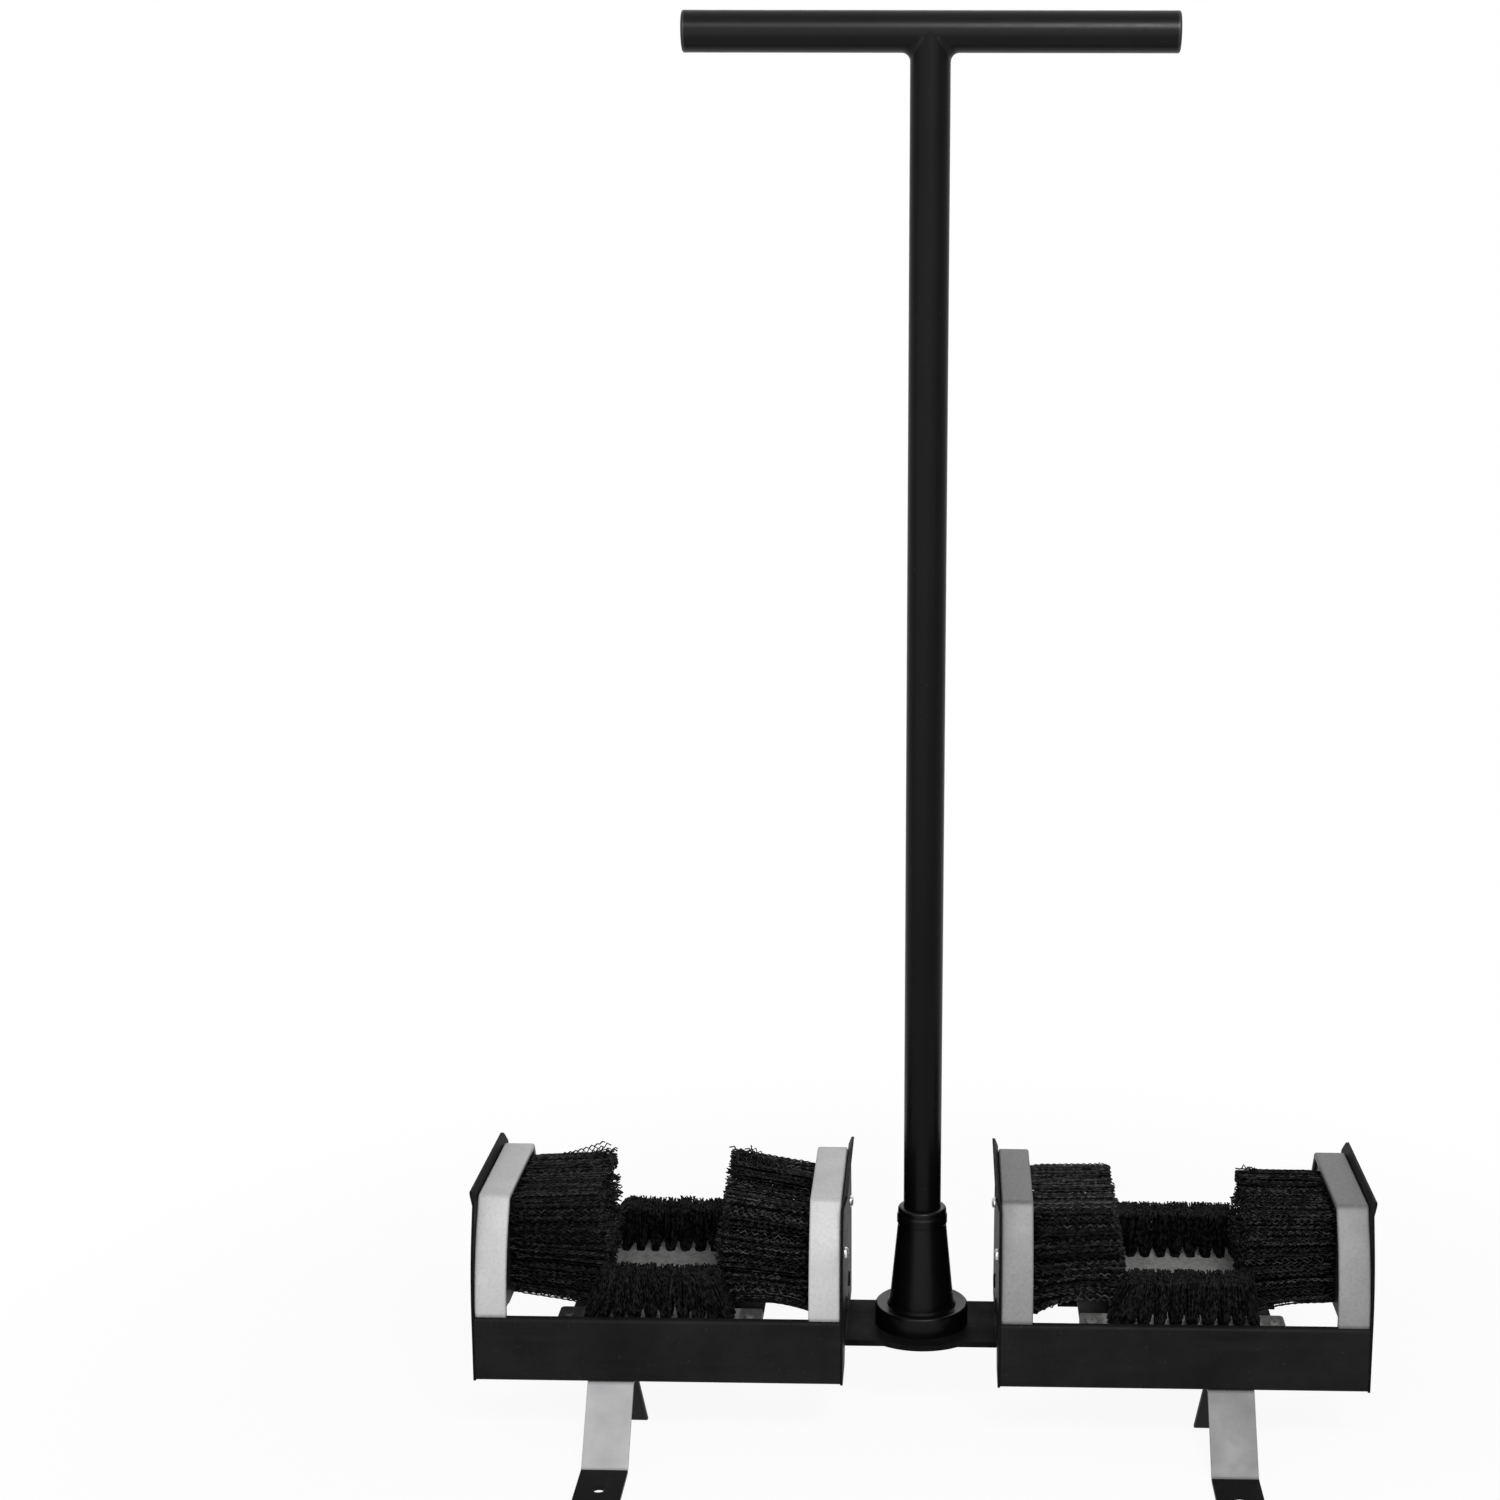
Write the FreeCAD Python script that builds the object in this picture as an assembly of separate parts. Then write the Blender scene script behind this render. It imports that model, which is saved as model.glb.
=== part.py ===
import FreeCAD, Part
import math
import os

from FreeCAD import Vector

# Boot brush stand: two steel brush boxes on strap legs, a crossbar and a tall T handle between them.
# Millimetres. X runs from the left box to the right box, Y from front to rear, Z up.
# The origin is on the floor, under the pole.

# Driving sizes of the whole stand
unit_width = 280.0
unit_depth = 183.0
unit_gap = 116.8
floor_clearance = 54.0
wall_height = 50.5
plate_height = 142.5
handle_axis_height = 1041.0
sheet = 2.0

# Clearances and cuts
fit_gap = 0.3
thread_gap = 0.15
overrun = 5.0

# Places that several pieces share
half_depth = unit_depth / 2
inner_face = unit_gap / 2
outer_face = inner_face + unit_width
unit_centre = inner_face + unit_width / 2
box_bottom = floor_clearance
wall_top = box_bottom + wall_height
plate_top = box_bottom + plate_height

# Side plates: a bowed front edge, cut top corners, a flared lip and an arch at the bottom
lip_height = 9.0
lip_flare = 3.0
lip_bend_radius = 3.0
plate_top_setback = 22.0
plate_corner_setback = 17.0
plate_corner_drop = 9.5
plate_bow_height = 85.0
plate_bow_radius = 185.0
plate_corner_radius = 6.0
arch_foot_width = 36.0
arch_slope_run = 18.0
arch_height = 26.0
arch_radius = 5.0

# Front and rear walls: folded channels with welded end tabs
wall_hem_depth = 6.0
wall_flange_depth = 28.0
wall_bend_radius = 1.2
end_tab_depth = 14.0
end_tab_relief = 7.0

# Brush fenders: open trays that cover the top, front and rear of each side brush
fender_width = 24.0
fender_sheet = 1.2
fender_wall_setback = 2.0
fender_top_setback = 32.0
fender_height = 137.0
fender_bow_height = 88.0
fender_bow_radius = 125.0
fender_corner_radius = 2.5

# Side brush blocks, set back inside the fenders
side_block_recess = 3.0
side_field_half = 53.0
side_field_low = 55.0
side_field_high = 128.0
side_tip_low = 52.0
side_tip_high = 143.0
side_tip_reach = 96.0

# Pan screws that hold the side brush blocks
side_screw_height = 92.0
side_screw_half_spacing = 55.0
screw_radius = 2.4
screw_length = 14.0
screw_head_radius = 4.6
screw_head_height = 2.9
screw_head_round_share = 0.8
recess_width = 1.1
recess_length = 5.0
recess_depth = 1.6

# Bottom brush block: two bars joined by a web, on a folded carrier plate
block_length = 155.0
block_notch_depth = 25.0
block_bar_depth = 35.0
block_bar_setback = 1.0
block_height = 20.0
block_top = 45.0
block_corner_radius = 3.0
carrier_end_inset = 2.5
carrier_tab_height = 15.0
carrier_bend_radius = 2.0
block_screw_end_inset = 8.5

# Bottom bristle rows
row_end_inset = 16.5
row_root_depth = 24.0
row_tip_depth = 28.0
row_height = 39.0

# Strap legs: foot pad, riser, short top flat and rear prop
leg_offset = 36.0
leg_width = 35.0
leg_thickness = 3.0
leg_bend_radius = 4.0
foot_reach = 107.0
foot_bend_reach = 40.0
foot_hole_reach = 72.0
foot_hole_radius = 4.5
foot_corner_radius = 6.0
leg_flat_start = 3.0
leg_flat_length = 18.0
prop_run = 30.0
prop_flare = 5.0

# Hexagon bolts and nuts
bolt_radius = 3.0
bolt_hole_radius = 3.3
hex_across_flats = 10.0
hex_head_height = 4.0
nut_height = 5.0
thread_stick_out = 2.0
leg_bolt_half_spacing = 10.0

# Crossbar with a round seat for the hub and a bent tab at each end
crossbar_width = 80.0
crossbar_thickness = 4.5
crossbar_top = 14.0
crossbar_disc_radius = 49.0
crossbar_tab_top = 46.0
crossbar_bend_radius = 3.0
crossbar_bolt_height = 38.0
crossbar_bolt_half_spacing = 25.0
flat_head_radius = 6.0
flat_head_height = 1.6
flat_head_round_share = 0.7

# Hub socket
hub_flange_radius = 36.4
hub_flange_height = 16.5
hub_flange_rim = 2.0
hub_groove_radius = 27.0
hub_base_radius = 25.2
hub_neck_radius = 18.9
hub_collar_radius = 19.6
hub_collar_height = 14.0
hub_shoulder = 2.5
hub_height = 96.0
hub_floor = 5.0
hub_step = 1.6
hub_screw_circle_radius = 26.0
hub_screw_count = 4
hub_screw_depth = 12.0
grub_radius = 3.0
grub_height = 50.0
grub_socket_radius = 1.6
grub_socket_depth = 2.5

# Pole and T handle
tube_radius = 14.5
tube_wall = 1.5
handle_length = 352.0
weld_radius = 6.0
weld_half_turn = 72
weld_slices = 8
cap_thickness = 2.4
cap_edge_radius = 1.6
cap_plug_length = 12.0


# Flat outlines are lists of (a, b, corner radius); they lie in the YZ, XZ or XY plane.
def in_yz(a, b):
    return Vector(0, a, b)


def in_xz(a, b):
    return Vector(a, 0, b)


def in_xy(a, b):
    return Vector(a, b, 0)


def direction(start, end):
    return (end - start).normalize()


def corner_arc(before, corner, after, radius):
    # Tangent arc in place of a corner: its start, middle and end points
    into = direction(before, corner)
    out = direction(corner, after)
    half_turn = into.getAngle(out) / 2
    reach = radius * math.tan(half_turn)
    bulge = radius / math.cos(half_turn) - radius
    inward = (out - into).normalize()
    return corner - into * reach, corner + inward * bulge, corner + out * reach


def outline_face(outline, plane):
    points = [plane(a, b) for a, b, radius in outline]
    radii = [radius for a, b, radius in outline]
    edges = []
    ends = []
    count = len(points)
    for i in range(count):
        if radii[i] > 0:
            arc = corner_arc(points[i - 1], points[i], points[(i + 1) % count], radii[i])
            edges.append(Part.Arc(*arc).toShape())
            ends.append((arc[0], arc[2]))
        else:
            ends.append((points[i], points[i]))
    for i in range(count):
        start = ends[i][1]
        end = ends[(i + 1) % count][0]
        edges.append(Part.LineSegment(start, end).toShape())
    return Part.Face(Part.Wire(Part.__sortEdges__(edges)))


def prism(outline, plane, low, high):
    axis = {in_yz: Vector(1, 0, 0), in_xz: Vector(0, 1, 0), in_xy: Vector(0, 0, 1)}[plane]
    face = outline_face(outline, plane)
    face.translate(axis * low)
    return face.extrude(axis * (high - low))


def inset_outline(outline, distance):
    # Moves every side of a closed outline, listed anticlockwise, inwards by one distance
    result = []
    count = len(outline)
    for i in range(count):
        a, b, radius = outline[i]
        before = Vector(outline[i - 1][0], outline[i - 1][1], 0)
        here = Vector(a, b, 0)
        after = Vector(outline[(i + 1) % count][0], outline[(i + 1) % count][1], 0)
        side_in = direction(before, here)
        side_out = direction(here, after)
        normal_in = Vector(-side_in.y, side_in.x, 0)
        normal_out = Vector(-side_out.y, side_out.x, 0)
        moved = here + (normal_in + normal_out) * (distance / (1 + normal_in.dot(normal_out)))
        result.append((moved.x, moved.y, max(radius - distance, 0)))
    return result


def bent_strip(path, thickness, inside_radius, plane, low, high):
    # A folded strip from the line through its middle, with one inside radius at every bend
    points = [plane(a, b) for a, b in path]
    axis = {in_yz: Vector(1, 0, 0), in_xz: Vector(0, 1, 0)}[plane]
    middle_radius = inside_radius + thickness / 2
    sides = []
    for side in (-1, 1):
        shift = side * thickness / 2
        first = direction(points[0], points[1])
        last = direction(points[-2], points[-1])
        chain = [points[0] + axis.cross(first) * shift]
        for i in range(1, len(points) - 1):
            arc = corner_arc(points[i - 1], points[i], points[i + 1], middle_radius)
            into = direction(points[i - 1], points[i])
            out = direction(points[i], points[i + 1])
            ways = (into, (into + out).normalize(), out)
            chain.append([p + axis.cross(way) * shift for p, way in zip(arc, ways)])
        chain.append(points[-1] + axis.cross(last) * shift)
        sides.append(chain)
    edges = [Part.LineSegment(sides[0][0], sides[1][0]).toShape(),
             Part.LineSegment(sides[0][-1], sides[1][-1]).toShape()]
    for chain in sides:
        here = chain[0]
        for bend in chain[1:-1]:
            edges.append(Part.LineSegment(here, bend[0]).toShape())
            edges.append(Part.Arc(*bend).toShape())
            here = bend[2]
        edges.append(Part.LineSegment(here, chain[-1]).toShape())
    face = Part.Face(Part.Wire(Part.__sortEdges__(edges)))
    face.translate(axis * low)
    return face.extrude(axis * (high - low))


def block_between(low, high):
    size = [high[i] - low[i] for i in range(3)]
    return Part.makeBox(size[0], size[1], size[2], Vector(*low))


def rod(radius, start, end):
    start = Vector(*start)
    end = Vector(*end)
    return Part.makeCylinder(radius, (end - start).Length, start, end - start)


def revolved(profile):
    # Turns an outline of (radius, height, corner radius) once round the Z axis
    return outline_face(profile, in_xz).revolve(Vector(0, 0, 0), Vector(0, 0, 1), 360)


def aimed(shape, place, way):
    # Puts a shape made along +Z at a place, pointing a given way
    moved = shape.copy()
    moved.Placement = FreeCAD.Placement(Vector(*place), FreeCAD.Rotation(Vector(0, 0, 1), Vector(*way)))
    return moved


def mirrored_x(shape, at):
    return shape.mirror(Vector(at, 0, 0), Vector(1, 0, 0))


def mirrored_y(shape):
    return shape.mirror(Vector(0, 0, 0), Vector(0, 1, 0))


# Fasteners, made along +Z with the underside of the head at the origin and the shank pointing down
def pan_screw(length):
    rounding = screw_head_height * screw_head_round_share
    head = revolved([(0, 0, 0), (screw_head_radius, 0, 0), (screw_head_radius, screw_head_height, rounding),
                     (0, screw_head_height, 0)])
    shank = rod(screw_radius, (0, 0, -length), (0, 0, 0))
    screw = head.fuse(shank)
    for long_x in (True, False):
        half_x = recess_length / 2 if long_x else recess_width / 2
        half_y = recess_width / 2 if long_x else recess_length / 2
        slot = block_between((-half_x, -half_y, screw_head_height - recess_depth),
                             (half_x, half_y, screw_head_height + overrun))
        screw = screw.cut(slot)
    return screw.removeSplitter()


def hexagon(height):
    corner = hex_across_flats / math.sqrt(3)
    turns = [math.radians(60 * i) for i in range(6)]
    ring = [(corner * math.cos(turn), corner * math.sin(turn), 0) for turn in turns]
    return prism(ring, in_xy, 0, height)


def hex_bolt(grip):
    shank = rod(bolt_radius, (0, 0, -grip), (0, 0, 0))
    return hexagon(hex_head_height).fuse(shank).removeSplitter()


def hex_nut():
    hole = rod(bolt_radius + thread_gap, (0, 0, -overrun), (0, 0, nut_height + overrun))
    return hexagon(nut_height).cut(hole)


def flat_bolt(grip):
    rounding = flat_head_height * flat_head_round_share
    head = revolved([(0, 0, 0), (flat_head_radius, 0, 0), (flat_head_radius, flat_head_height, rounding),
                     (0, flat_head_height, 0)])
    return head.fuse(rod(bolt_radius, (0, 0, -grip), (0, 0, 0))).removeSplitter()


# Places of the fasteners of the right unit
def leg_centre():
    return unit_centre + leg_offset


def side_screw_places():
    z = box_bottom + side_screw_height
    return [(y, z) for y in (-side_screw_half_spacing, side_screw_half_spacing)]


def leg_bolt_places(front):
    y = half_depth - leg_flat_start - leg_flat_length / 2
    sign = -1 if front else 1
    return [(leg_centre() + dx, sign * y) for dx in (-leg_bolt_half_spacing, leg_bolt_half_spacing)]


def crossbar_bolt_places():
    z = box_bottom + crossbar_bolt_height
    return [(y, z) for y in (-crossbar_bolt_half_spacing, crossbar_bolt_half_spacing)]


def block_screw_places():
    dx = block_length / 2 - block_screw_end_inset
    dy = half_depth - sheet - block_bar_setback - block_bar_depth / 2
    return [(unit_centre + sx * dx, sy * dy) for sx in (-1, 1) for sy in (-1, 1)]


# Side plates
def plate_outline():
    corner_y = half_depth - plate_corner_setback
    corner_z = plate_top - plate_corner_drop
    top_y = half_depth - plate_top_setback
    bow_z = box_bottom + plate_bow_height
    arch_low = half_depth - arch_foot_width
    arch_high = arch_low - arch_slope_run
    arch_top = box_bottom + arch_height
    rear = [(arch_high, arch_top, arch_radius), (arch_low, box_bottom, 0), (half_depth, box_bottom, 0),
            (half_depth, bow_z, plate_bow_radius), (corner_y, corner_z, plate_corner_radius),
            (top_y, plate_top, plate_corner_radius)]
    front = [(-y, z, radius) for y, z, radius in reversed(rear)]
    return rear + front


def outer_plate():
    middle = outer_face - sheet / 2
    path = [(middle, box_bottom), (middle, plate_top - lip_height), (middle + lip_flare, plate_top)]
    folded = bent_strip(path, sheet, lip_bend_radius, in_xz, -half_depth, half_depth)
    reach = lip_flare + sheet
    plate = folded.common(prism(plate_outline(), in_yz, outer_face - reach, outer_face + reach))
    for y, z in side_screw_places():
        plate = plate.cut(rod(screw_radius + fit_gap, (outer_face - reach, y, z), (outer_face + reach, y, z)))
    return plate


def inner_plate():
    plate = mirrored_x(outer_plate(), unit_centre)
    for y, z in crossbar_bolt_places():
        plate = plate.cut(rod(bolt_hole_radius, (inner_face - overrun, y, z), (inner_face + overrun, y, z)))
    return plate


# Front wall of the right unit; the rear wall is its mirror image
def front_wall():
    left = inner_face + sheet
    right = outer_face - sheet
    web = -half_depth + sheet / 2
    path = [(-half_depth + wall_hem_depth, wall_top - sheet / 2), (web, wall_top - sheet / 2),
            (web, box_bottom + sheet / 2), (-half_depth + wall_flange_depth, box_bottom + sheet / 2)]
    wall = bent_strip(path, sheet, wall_bend_radius, in_yz, left, right)
    for x in (left, right - sheet):
        tab = block_between((x, web, box_bottom + end_tab_relief),
                            (x + sheet, -half_depth + end_tab_depth, wall_top - end_tab_relief))
        wall = wall.fuse(tab)
    for x, y in leg_bolt_places(True):
        wall = wall.cut(rod(bolt_hole_radius, (x, y, box_bottom - overrun), (x, y, box_bottom + overrun)))
    return wall.removeSplitter()


# Fender tray, outer side of the right unit
def fender_outline():
    foot_y = half_depth - fender_wall_setback
    top_y = half_depth - fender_top_setback
    top_z = box_bottom + fender_height
    rear = [(foot_y, wall_top, 0), (foot_y, box_bottom + fender_bow_height, fender_bow_radius),
            (top_y, top_z, fender_corner_radius)]
    front = [(-y, z, radius) for y, z, radius in reversed(rear)]
    return rear + front


def set_foot(outline, height):
    # The first and last points of a fender outline are its feet
    inside = list(outline)
    for i in (0, -1):
        inside[i] = (inside[i][0], height, 0)
    return inside


def outer_fender():
    back = outer_face - sheet
    tray = prism(fender_outline(), in_yz, back - fender_width, back)
    hollow = set_foot(inset_outline(fender_outline(), fender_sheet), wall_top - overrun)
    tray = tray.cut(prism(hollow, in_yz, back - fender_width - overrun, back - fender_sheet))
    for y, z in side_screw_places():
        tray = tray.cut(rod(screw_radius + fit_gap, (back - fender_width / 2, y, z), (back + overrun, y, z)))
    return tray


# Side brush block and its bristles, outer side of the right unit
def side_block_face():
    return outer_face - sheet - fender_width + side_block_recess


def outer_side_block():
    back = outer_face - sheet - fender_sheet
    shape = set_foot(inset_outline(fender_outline(), fender_sheet + fit_gap), wall_top)
    block = prism(shape, in_yz, side_block_face(), back)
    for y, z in side_screw_places():
        depth = screw_length - sheet - fender_sheet + fit_gap
        block = block.cut(rod(screw_radius + thread_gap, (back - depth, y, z), (back + overrun, y, z)))
    return block


def outer_side_bristles():
    root = side_block_face()
    tip = outer_face - side_tip_reach
    field = [(tip, box_bottom + side_tip_low, 0), (root, box_bottom + side_field_low, 0),
             (root, box_bottom + side_field_high, 0), (tip, box_bottom + side_tip_high, 0)]
    return prism(field, in_xz, -side_field_half, side_field_half)


def side_screws():
    screws = []
    for y, z in side_screw_places():
        screws.append(aimed(pan_screw(screw_length), (outer_face, y, z), (1, 0, 0)))
        screws.append(aimed(pan_screw(screw_length), (inner_face, y, z), (-1, 0, 0)))
    return Part.makeCompound(screws)


# Carrier plate and bottom brush of the right unit
def carrier_plate():
    end = half_depth - sheet - sheet / 2
    middle = box_bottom + block_top - block_height - sheet / 2
    low = middle - carrier_tab_height
    half_width = block_length / 2 - carrier_end_inset
    path = [(-end, low), (-end, middle), (end, middle), (end, low)]
    plate = bent_strip(path, sheet, carrier_bend_radius, in_yz,
                       unit_centre - half_width, unit_centre + half_width)
    for x, y in block_screw_places():
        plate = plate.cut(rod(screw_radius + fit_gap, (x, y, middle - overrun), (x, y, middle + overrun)))
    return plate


def bottom_block():
    half_length = block_length / 2
    half_web = half_length - block_notch_depth
    outside = half_depth - sheet - block_bar_setback
    inside = outside - block_bar_depth
    right = [(half_length, -outside), (half_length, -inside), (half_web, -inside),
             (half_web, inside), (half_length, inside), (half_length, outside)]
    left = [(-x, y) for x, y in reversed(right)]
    outline = [(unit_centre + x, y, block_corner_radius) for x, y in right + left]
    top = box_bottom + block_top
    low = top - block_height
    block = prism(outline, in_xy, low, top)
    for x, y in block_screw_places():
        block = block.cut(rod(screw_radius + fit_gap, (x, y, low - overrun), (x, y, top + overrun)))
    return block


def bottom_row():
    root = box_bottom + block_top
    middle = -(half_depth - sheet - block_bar_setback - block_bar_depth / 2)
    tip = root + row_height
    half_root = row_root_depth / 2
    half_tip = row_tip_depth / 2
    half_length = block_length / 2 - row_end_inset
    outline = [(middle - half_root, root, 0), (middle + half_root, root, 0),
               (middle + half_tip, tip, 0), (middle - half_tip, tip, 0)]
    return prism(outline, in_yz, unit_centre - half_length, unit_centre + half_length)


def block_screws():
    top = box_bottom + block_top
    length = block_height + sheet + thread_stick_out
    screws = [aimed(pan_screw(length), (x, y, top), (0, 0, 1)) for x, y in block_screw_places()]
    return Part.makeCompound(screws)


# Front strap leg of the right unit, wider towards the foot of its prop; the rear leg is its mirror image
def front_leg():
    half = leg_thickness / 2
    strap_top = box_bottom - half
    flat_end = leg_flat_start + leg_flat_length
    drop = strap_top + leg_thickness
    prop_foot = flat_end + prop_run * (drop / strap_top)
    path = [(-half_depth - foot_reach, half), (-half_depth - foot_bend_reach, half),
            (-half_depth + leg_flat_start, strap_top), (-half_depth + flat_end, strap_top),
            (-half_depth + prop_foot, strap_top - drop)]
    centre = leg_centre()
    left = centre - leg_width / 2
    right = centre + leg_width / 2
    strap = bent_strip(path, leg_thickness, leg_bend_radius, in_yz, left - prop_flare, right + prop_flare)
    toe = -half_depth - foot_reach
    prop_top = -half_depth + flat_end
    rear = -half_depth + prop_foot + leg_thickness
    plan = [(left, toe, foot_corner_radius), (right, toe, foot_corner_radius), (right, prop_top, 0),
            (right + prop_flare, rear, 0), (left - prop_flare, rear, 0), (left, prop_top, 0)]
    strap = strap.common(prism(plan, in_xy, 0, box_bottom))
    hole_y = -half_depth - foot_hole_reach
    hole = rod(foot_hole_radius, (centre, hole_y, -overrun), (centre, hole_y, overrun))
    strap = strap.cut(hole)
    under = box_bottom - leg_thickness
    for x, y in leg_bolt_places(True):
        strap = strap.cut(rod(bolt_hole_radius, (x, y, under - overrun), (x, y, box_bottom + overrun)))
    return strap


def leg_bolts():
    grip = leg_thickness + sheet + nut_height + thread_stick_out
    under = box_bottom - leg_thickness
    places = leg_bolt_places(True) + leg_bolt_places(False)
    return Part.makeCompound([aimed(hex_bolt(grip), (x, y, under), (0, 0, -1)) for x, y in places])


def leg_nuts():
    places = leg_bolt_places(True) + leg_bolt_places(False)
    return Part.makeCompound([aimed(hex_nut(), (x, y, box_bottom + sheet), (0, 0, 1)) for x, y in places])


# Crossbar and what joins it to the boxes
def crossbar():
    middle = box_bottom + crossbar_top - crossbar_thickness / 2
    tab = inner_face + sheet + crossbar_thickness / 2
    top = box_bottom + crossbar_tab_top
    path = [(-tab, top), (-tab, middle), (tab, middle), (tab, top)]
    bar = bent_strip(path, crossbar_thickness, crossbar_bend_radius, in_xz,
                     -crossbar_width / 2, crossbar_width / 2)
    high = box_bottom + crossbar_top
    low = high - crossbar_thickness
    bar = bar.fuse(rod(crossbar_disc_radius, (0, 0, low), (0, 0, high)))
    for y, z in crossbar_bolt_places():
        bar = bar.cut(rod(bolt_hole_radius, (-tab - overrun, y, z), (tab + overrun, y, z)))
    for x, y in hub_screw_places():
        bar = bar.cut(rod(screw_radius + fit_gap, (x, y, low - overrun), (x, y, high + overrun)))
    return bar.removeSplitter()


def crossbar_bolts():
    grip = sheet + crossbar_thickness + nut_height + thread_stick_out
    bolts = []
    for y, z in crossbar_bolt_places():
        bolts.append(aimed(flat_bolt(grip), (inner_face, y, z), (-1, 0, 0)))
        bolts.append(aimed(flat_bolt(grip), (-inner_face, y, z), (1, 0, 0)))
    return Part.makeCompound(bolts)


def crossbar_nuts():
    seat = inner_face + sheet + crossbar_thickness
    nuts = []
    for y, z in crossbar_bolt_places():
        nuts.append(aimed(hex_nut(), (seat, y, z), (1, 0, 0)))
        nuts.append(aimed(hex_nut(), (-seat, y, z), (-1, 0, 0)))
    return Part.makeCompound(nuts)


# Hub socket: flange, tapered body and collar round the foot of the pole
def hub_bottom():
    return box_bottom + crossbar_top


def hub_screw_places():
    places = []
    for i in range(hub_screw_count):
        turn = math.radians(360 / hub_screw_count * (i + 0.5))
        places.append((hub_screw_circle_radius * math.cos(turn), hub_screw_circle_radius * math.sin(turn)))
    return places


def grub_wall_radius():
    # Outside radius of the tapered body at the height of the grub screw
    taper_height = hub_height - hub_collar_height - hub_flange_height
    climb = (grub_height - hub_flange_height) / taper_height
    return hub_base_radius + (hub_neck_radius - hub_base_radius) * climb


def hub_socket():
    low = hub_bottom()
    flange_top = low + hub_flange_height
    neck = low + hub_height - hub_collar_height
    top = low + hub_height
    bead = neck + hub_collar_height / 2
    profile = [(0, low, 0), (hub_flange_radius, low, 0), (hub_flange_radius, flange_top, hub_flange_rim),
               (hub_groove_radius, flange_top - hub_step, 0), (hub_base_radius, flange_top, 0),
               (hub_neck_radius, neck, 0), (hub_collar_radius, neck + hub_step, 0),
               (hub_collar_radius, bead, 0), (hub_neck_radius, bead + hub_step, 0),
               (hub_neck_radius, top, hub_shoulder), (0, top, 0)]
    hub = revolved(profile)
    hub = hub.cut(rod(tube_radius + thread_gap, (0, 0, low + hub_floor), (0, 0, top + overrun)))
    for x, y in hub_screw_places():
        hub = hub.cut(rod(screw_radius + thread_gap, (x, y, low - overrun), (x, y, low + hub_screw_depth)))
    z = low + grub_height
    return hub.cut(rod(grub_radius + thread_gap, (0, tube_radius, z), (0, hub_flange_radius, z)))


def hub_screws():
    low = box_bottom + crossbar_top - crossbar_thickness
    length = crossbar_thickness + hub_screw_depth - fit_gap
    screws = [aimed(pan_screw(length), (x, y, low), (0, 0, -1)) for x, y in hub_screw_places()]
    return Part.makeCompound(screws)


def pole_grub_screw():
    z = hub_bottom() + grub_height
    end = grub_wall_radius()
    screw = rod(grub_radius, (0, tube_radius + thread_gap, z), (0, end, z))
    return screw.cut(rod(grub_socket_radius, (0, end - grub_socket_depth, z), (0, end + overrun, z)))


# Pole and T handle
def handle_outside():
    half = handle_length / 2 - cap_thickness
    return rod(tube_radius, (-half, 0, handle_axis_height), (half, 0, handle_axis_height))


def pole_outside():
    return rod(tube_radius, (0, 0, hub_bottom() + hub_floor), (0, 0, handle_axis_height))


def pole_tube():
    bore = rod(tube_radius - tube_wall, (0, 0, 0), (0, 0, handle_axis_height + tube_radius))
    return pole_outside().cut(bore).cut(handle_outside())


def handle_bar():
    half = handle_length / 2
    bore = rod(tube_radius - tube_wall, (-half, 0, handle_axis_height), (half, 0, handle_axis_height))
    return handle_outside().cut(bore)


def weld_section(turn):
    # Concave bead in the corner between pole and handle, one slice at a turn round the tubes
    corner = tube_radius * math.cos(turn)
    radius = weld_radius * math.cos(turn)
    y = tube_radius * math.sin(turn)
    seam_z = handle_axis_height - corner
    root = tube_wall / 2
    centre_x = corner + radius
    centre_z = seam_z - radius
    slope = math.cos(math.pi / 4)
    low = Vector(corner, y, centre_z)
    middle = Vector(centre_x - radius * slope, y, centre_z + radius * slope)
    high = Vector(centre_x, y, seam_z)
    inside = [high, Vector(centre_x, y, seam_z + root), Vector(corner - root, y, seam_z + root),
              Vector(corner - root, y, centre_z), low]
    edges = [Part.Arc(low, middle, high).toShape()]
    for i in range(len(inside) - 1):
        edges.append(Part.LineSegment(inside[i], inside[i + 1]).toShape())
    return Part.Wire(Part.__sortEdges__(edges))


def handle_weld():
    turns = [math.radians(weld_half_turn * (2 * i / weld_slices - 1)) for i in range(weld_slices + 1)]
    bead = Part.makeLoft([weld_section(turn) for turn in turns], True, False)
    bead = bead.cut(pole_outside()).cut(handle_outside())
    return Part.makeCompound([bead.Solids[0], mirrored_x(bead.Solids[0], 0)])


def right_handle_cap():
    end = handle_length / 2
    seat = end - cap_thickness
    disc = rod(tube_radius, (seat, 0, handle_axis_height), (end, 0, handle_axis_height))
    rim = [edge for edge in disc.Edges if edge.BoundBox.XMin > seat + cap_thickness / 2]
    disc = disc.makeFillet(cap_edge_radius, rim)
    plug = rod(tube_radius - tube_wall - thread_gap,
               (seat - cap_plug_length, 0, handle_axis_height), (seat, 0, handle_axis_height))
    return disc.fuse(plug)


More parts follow.
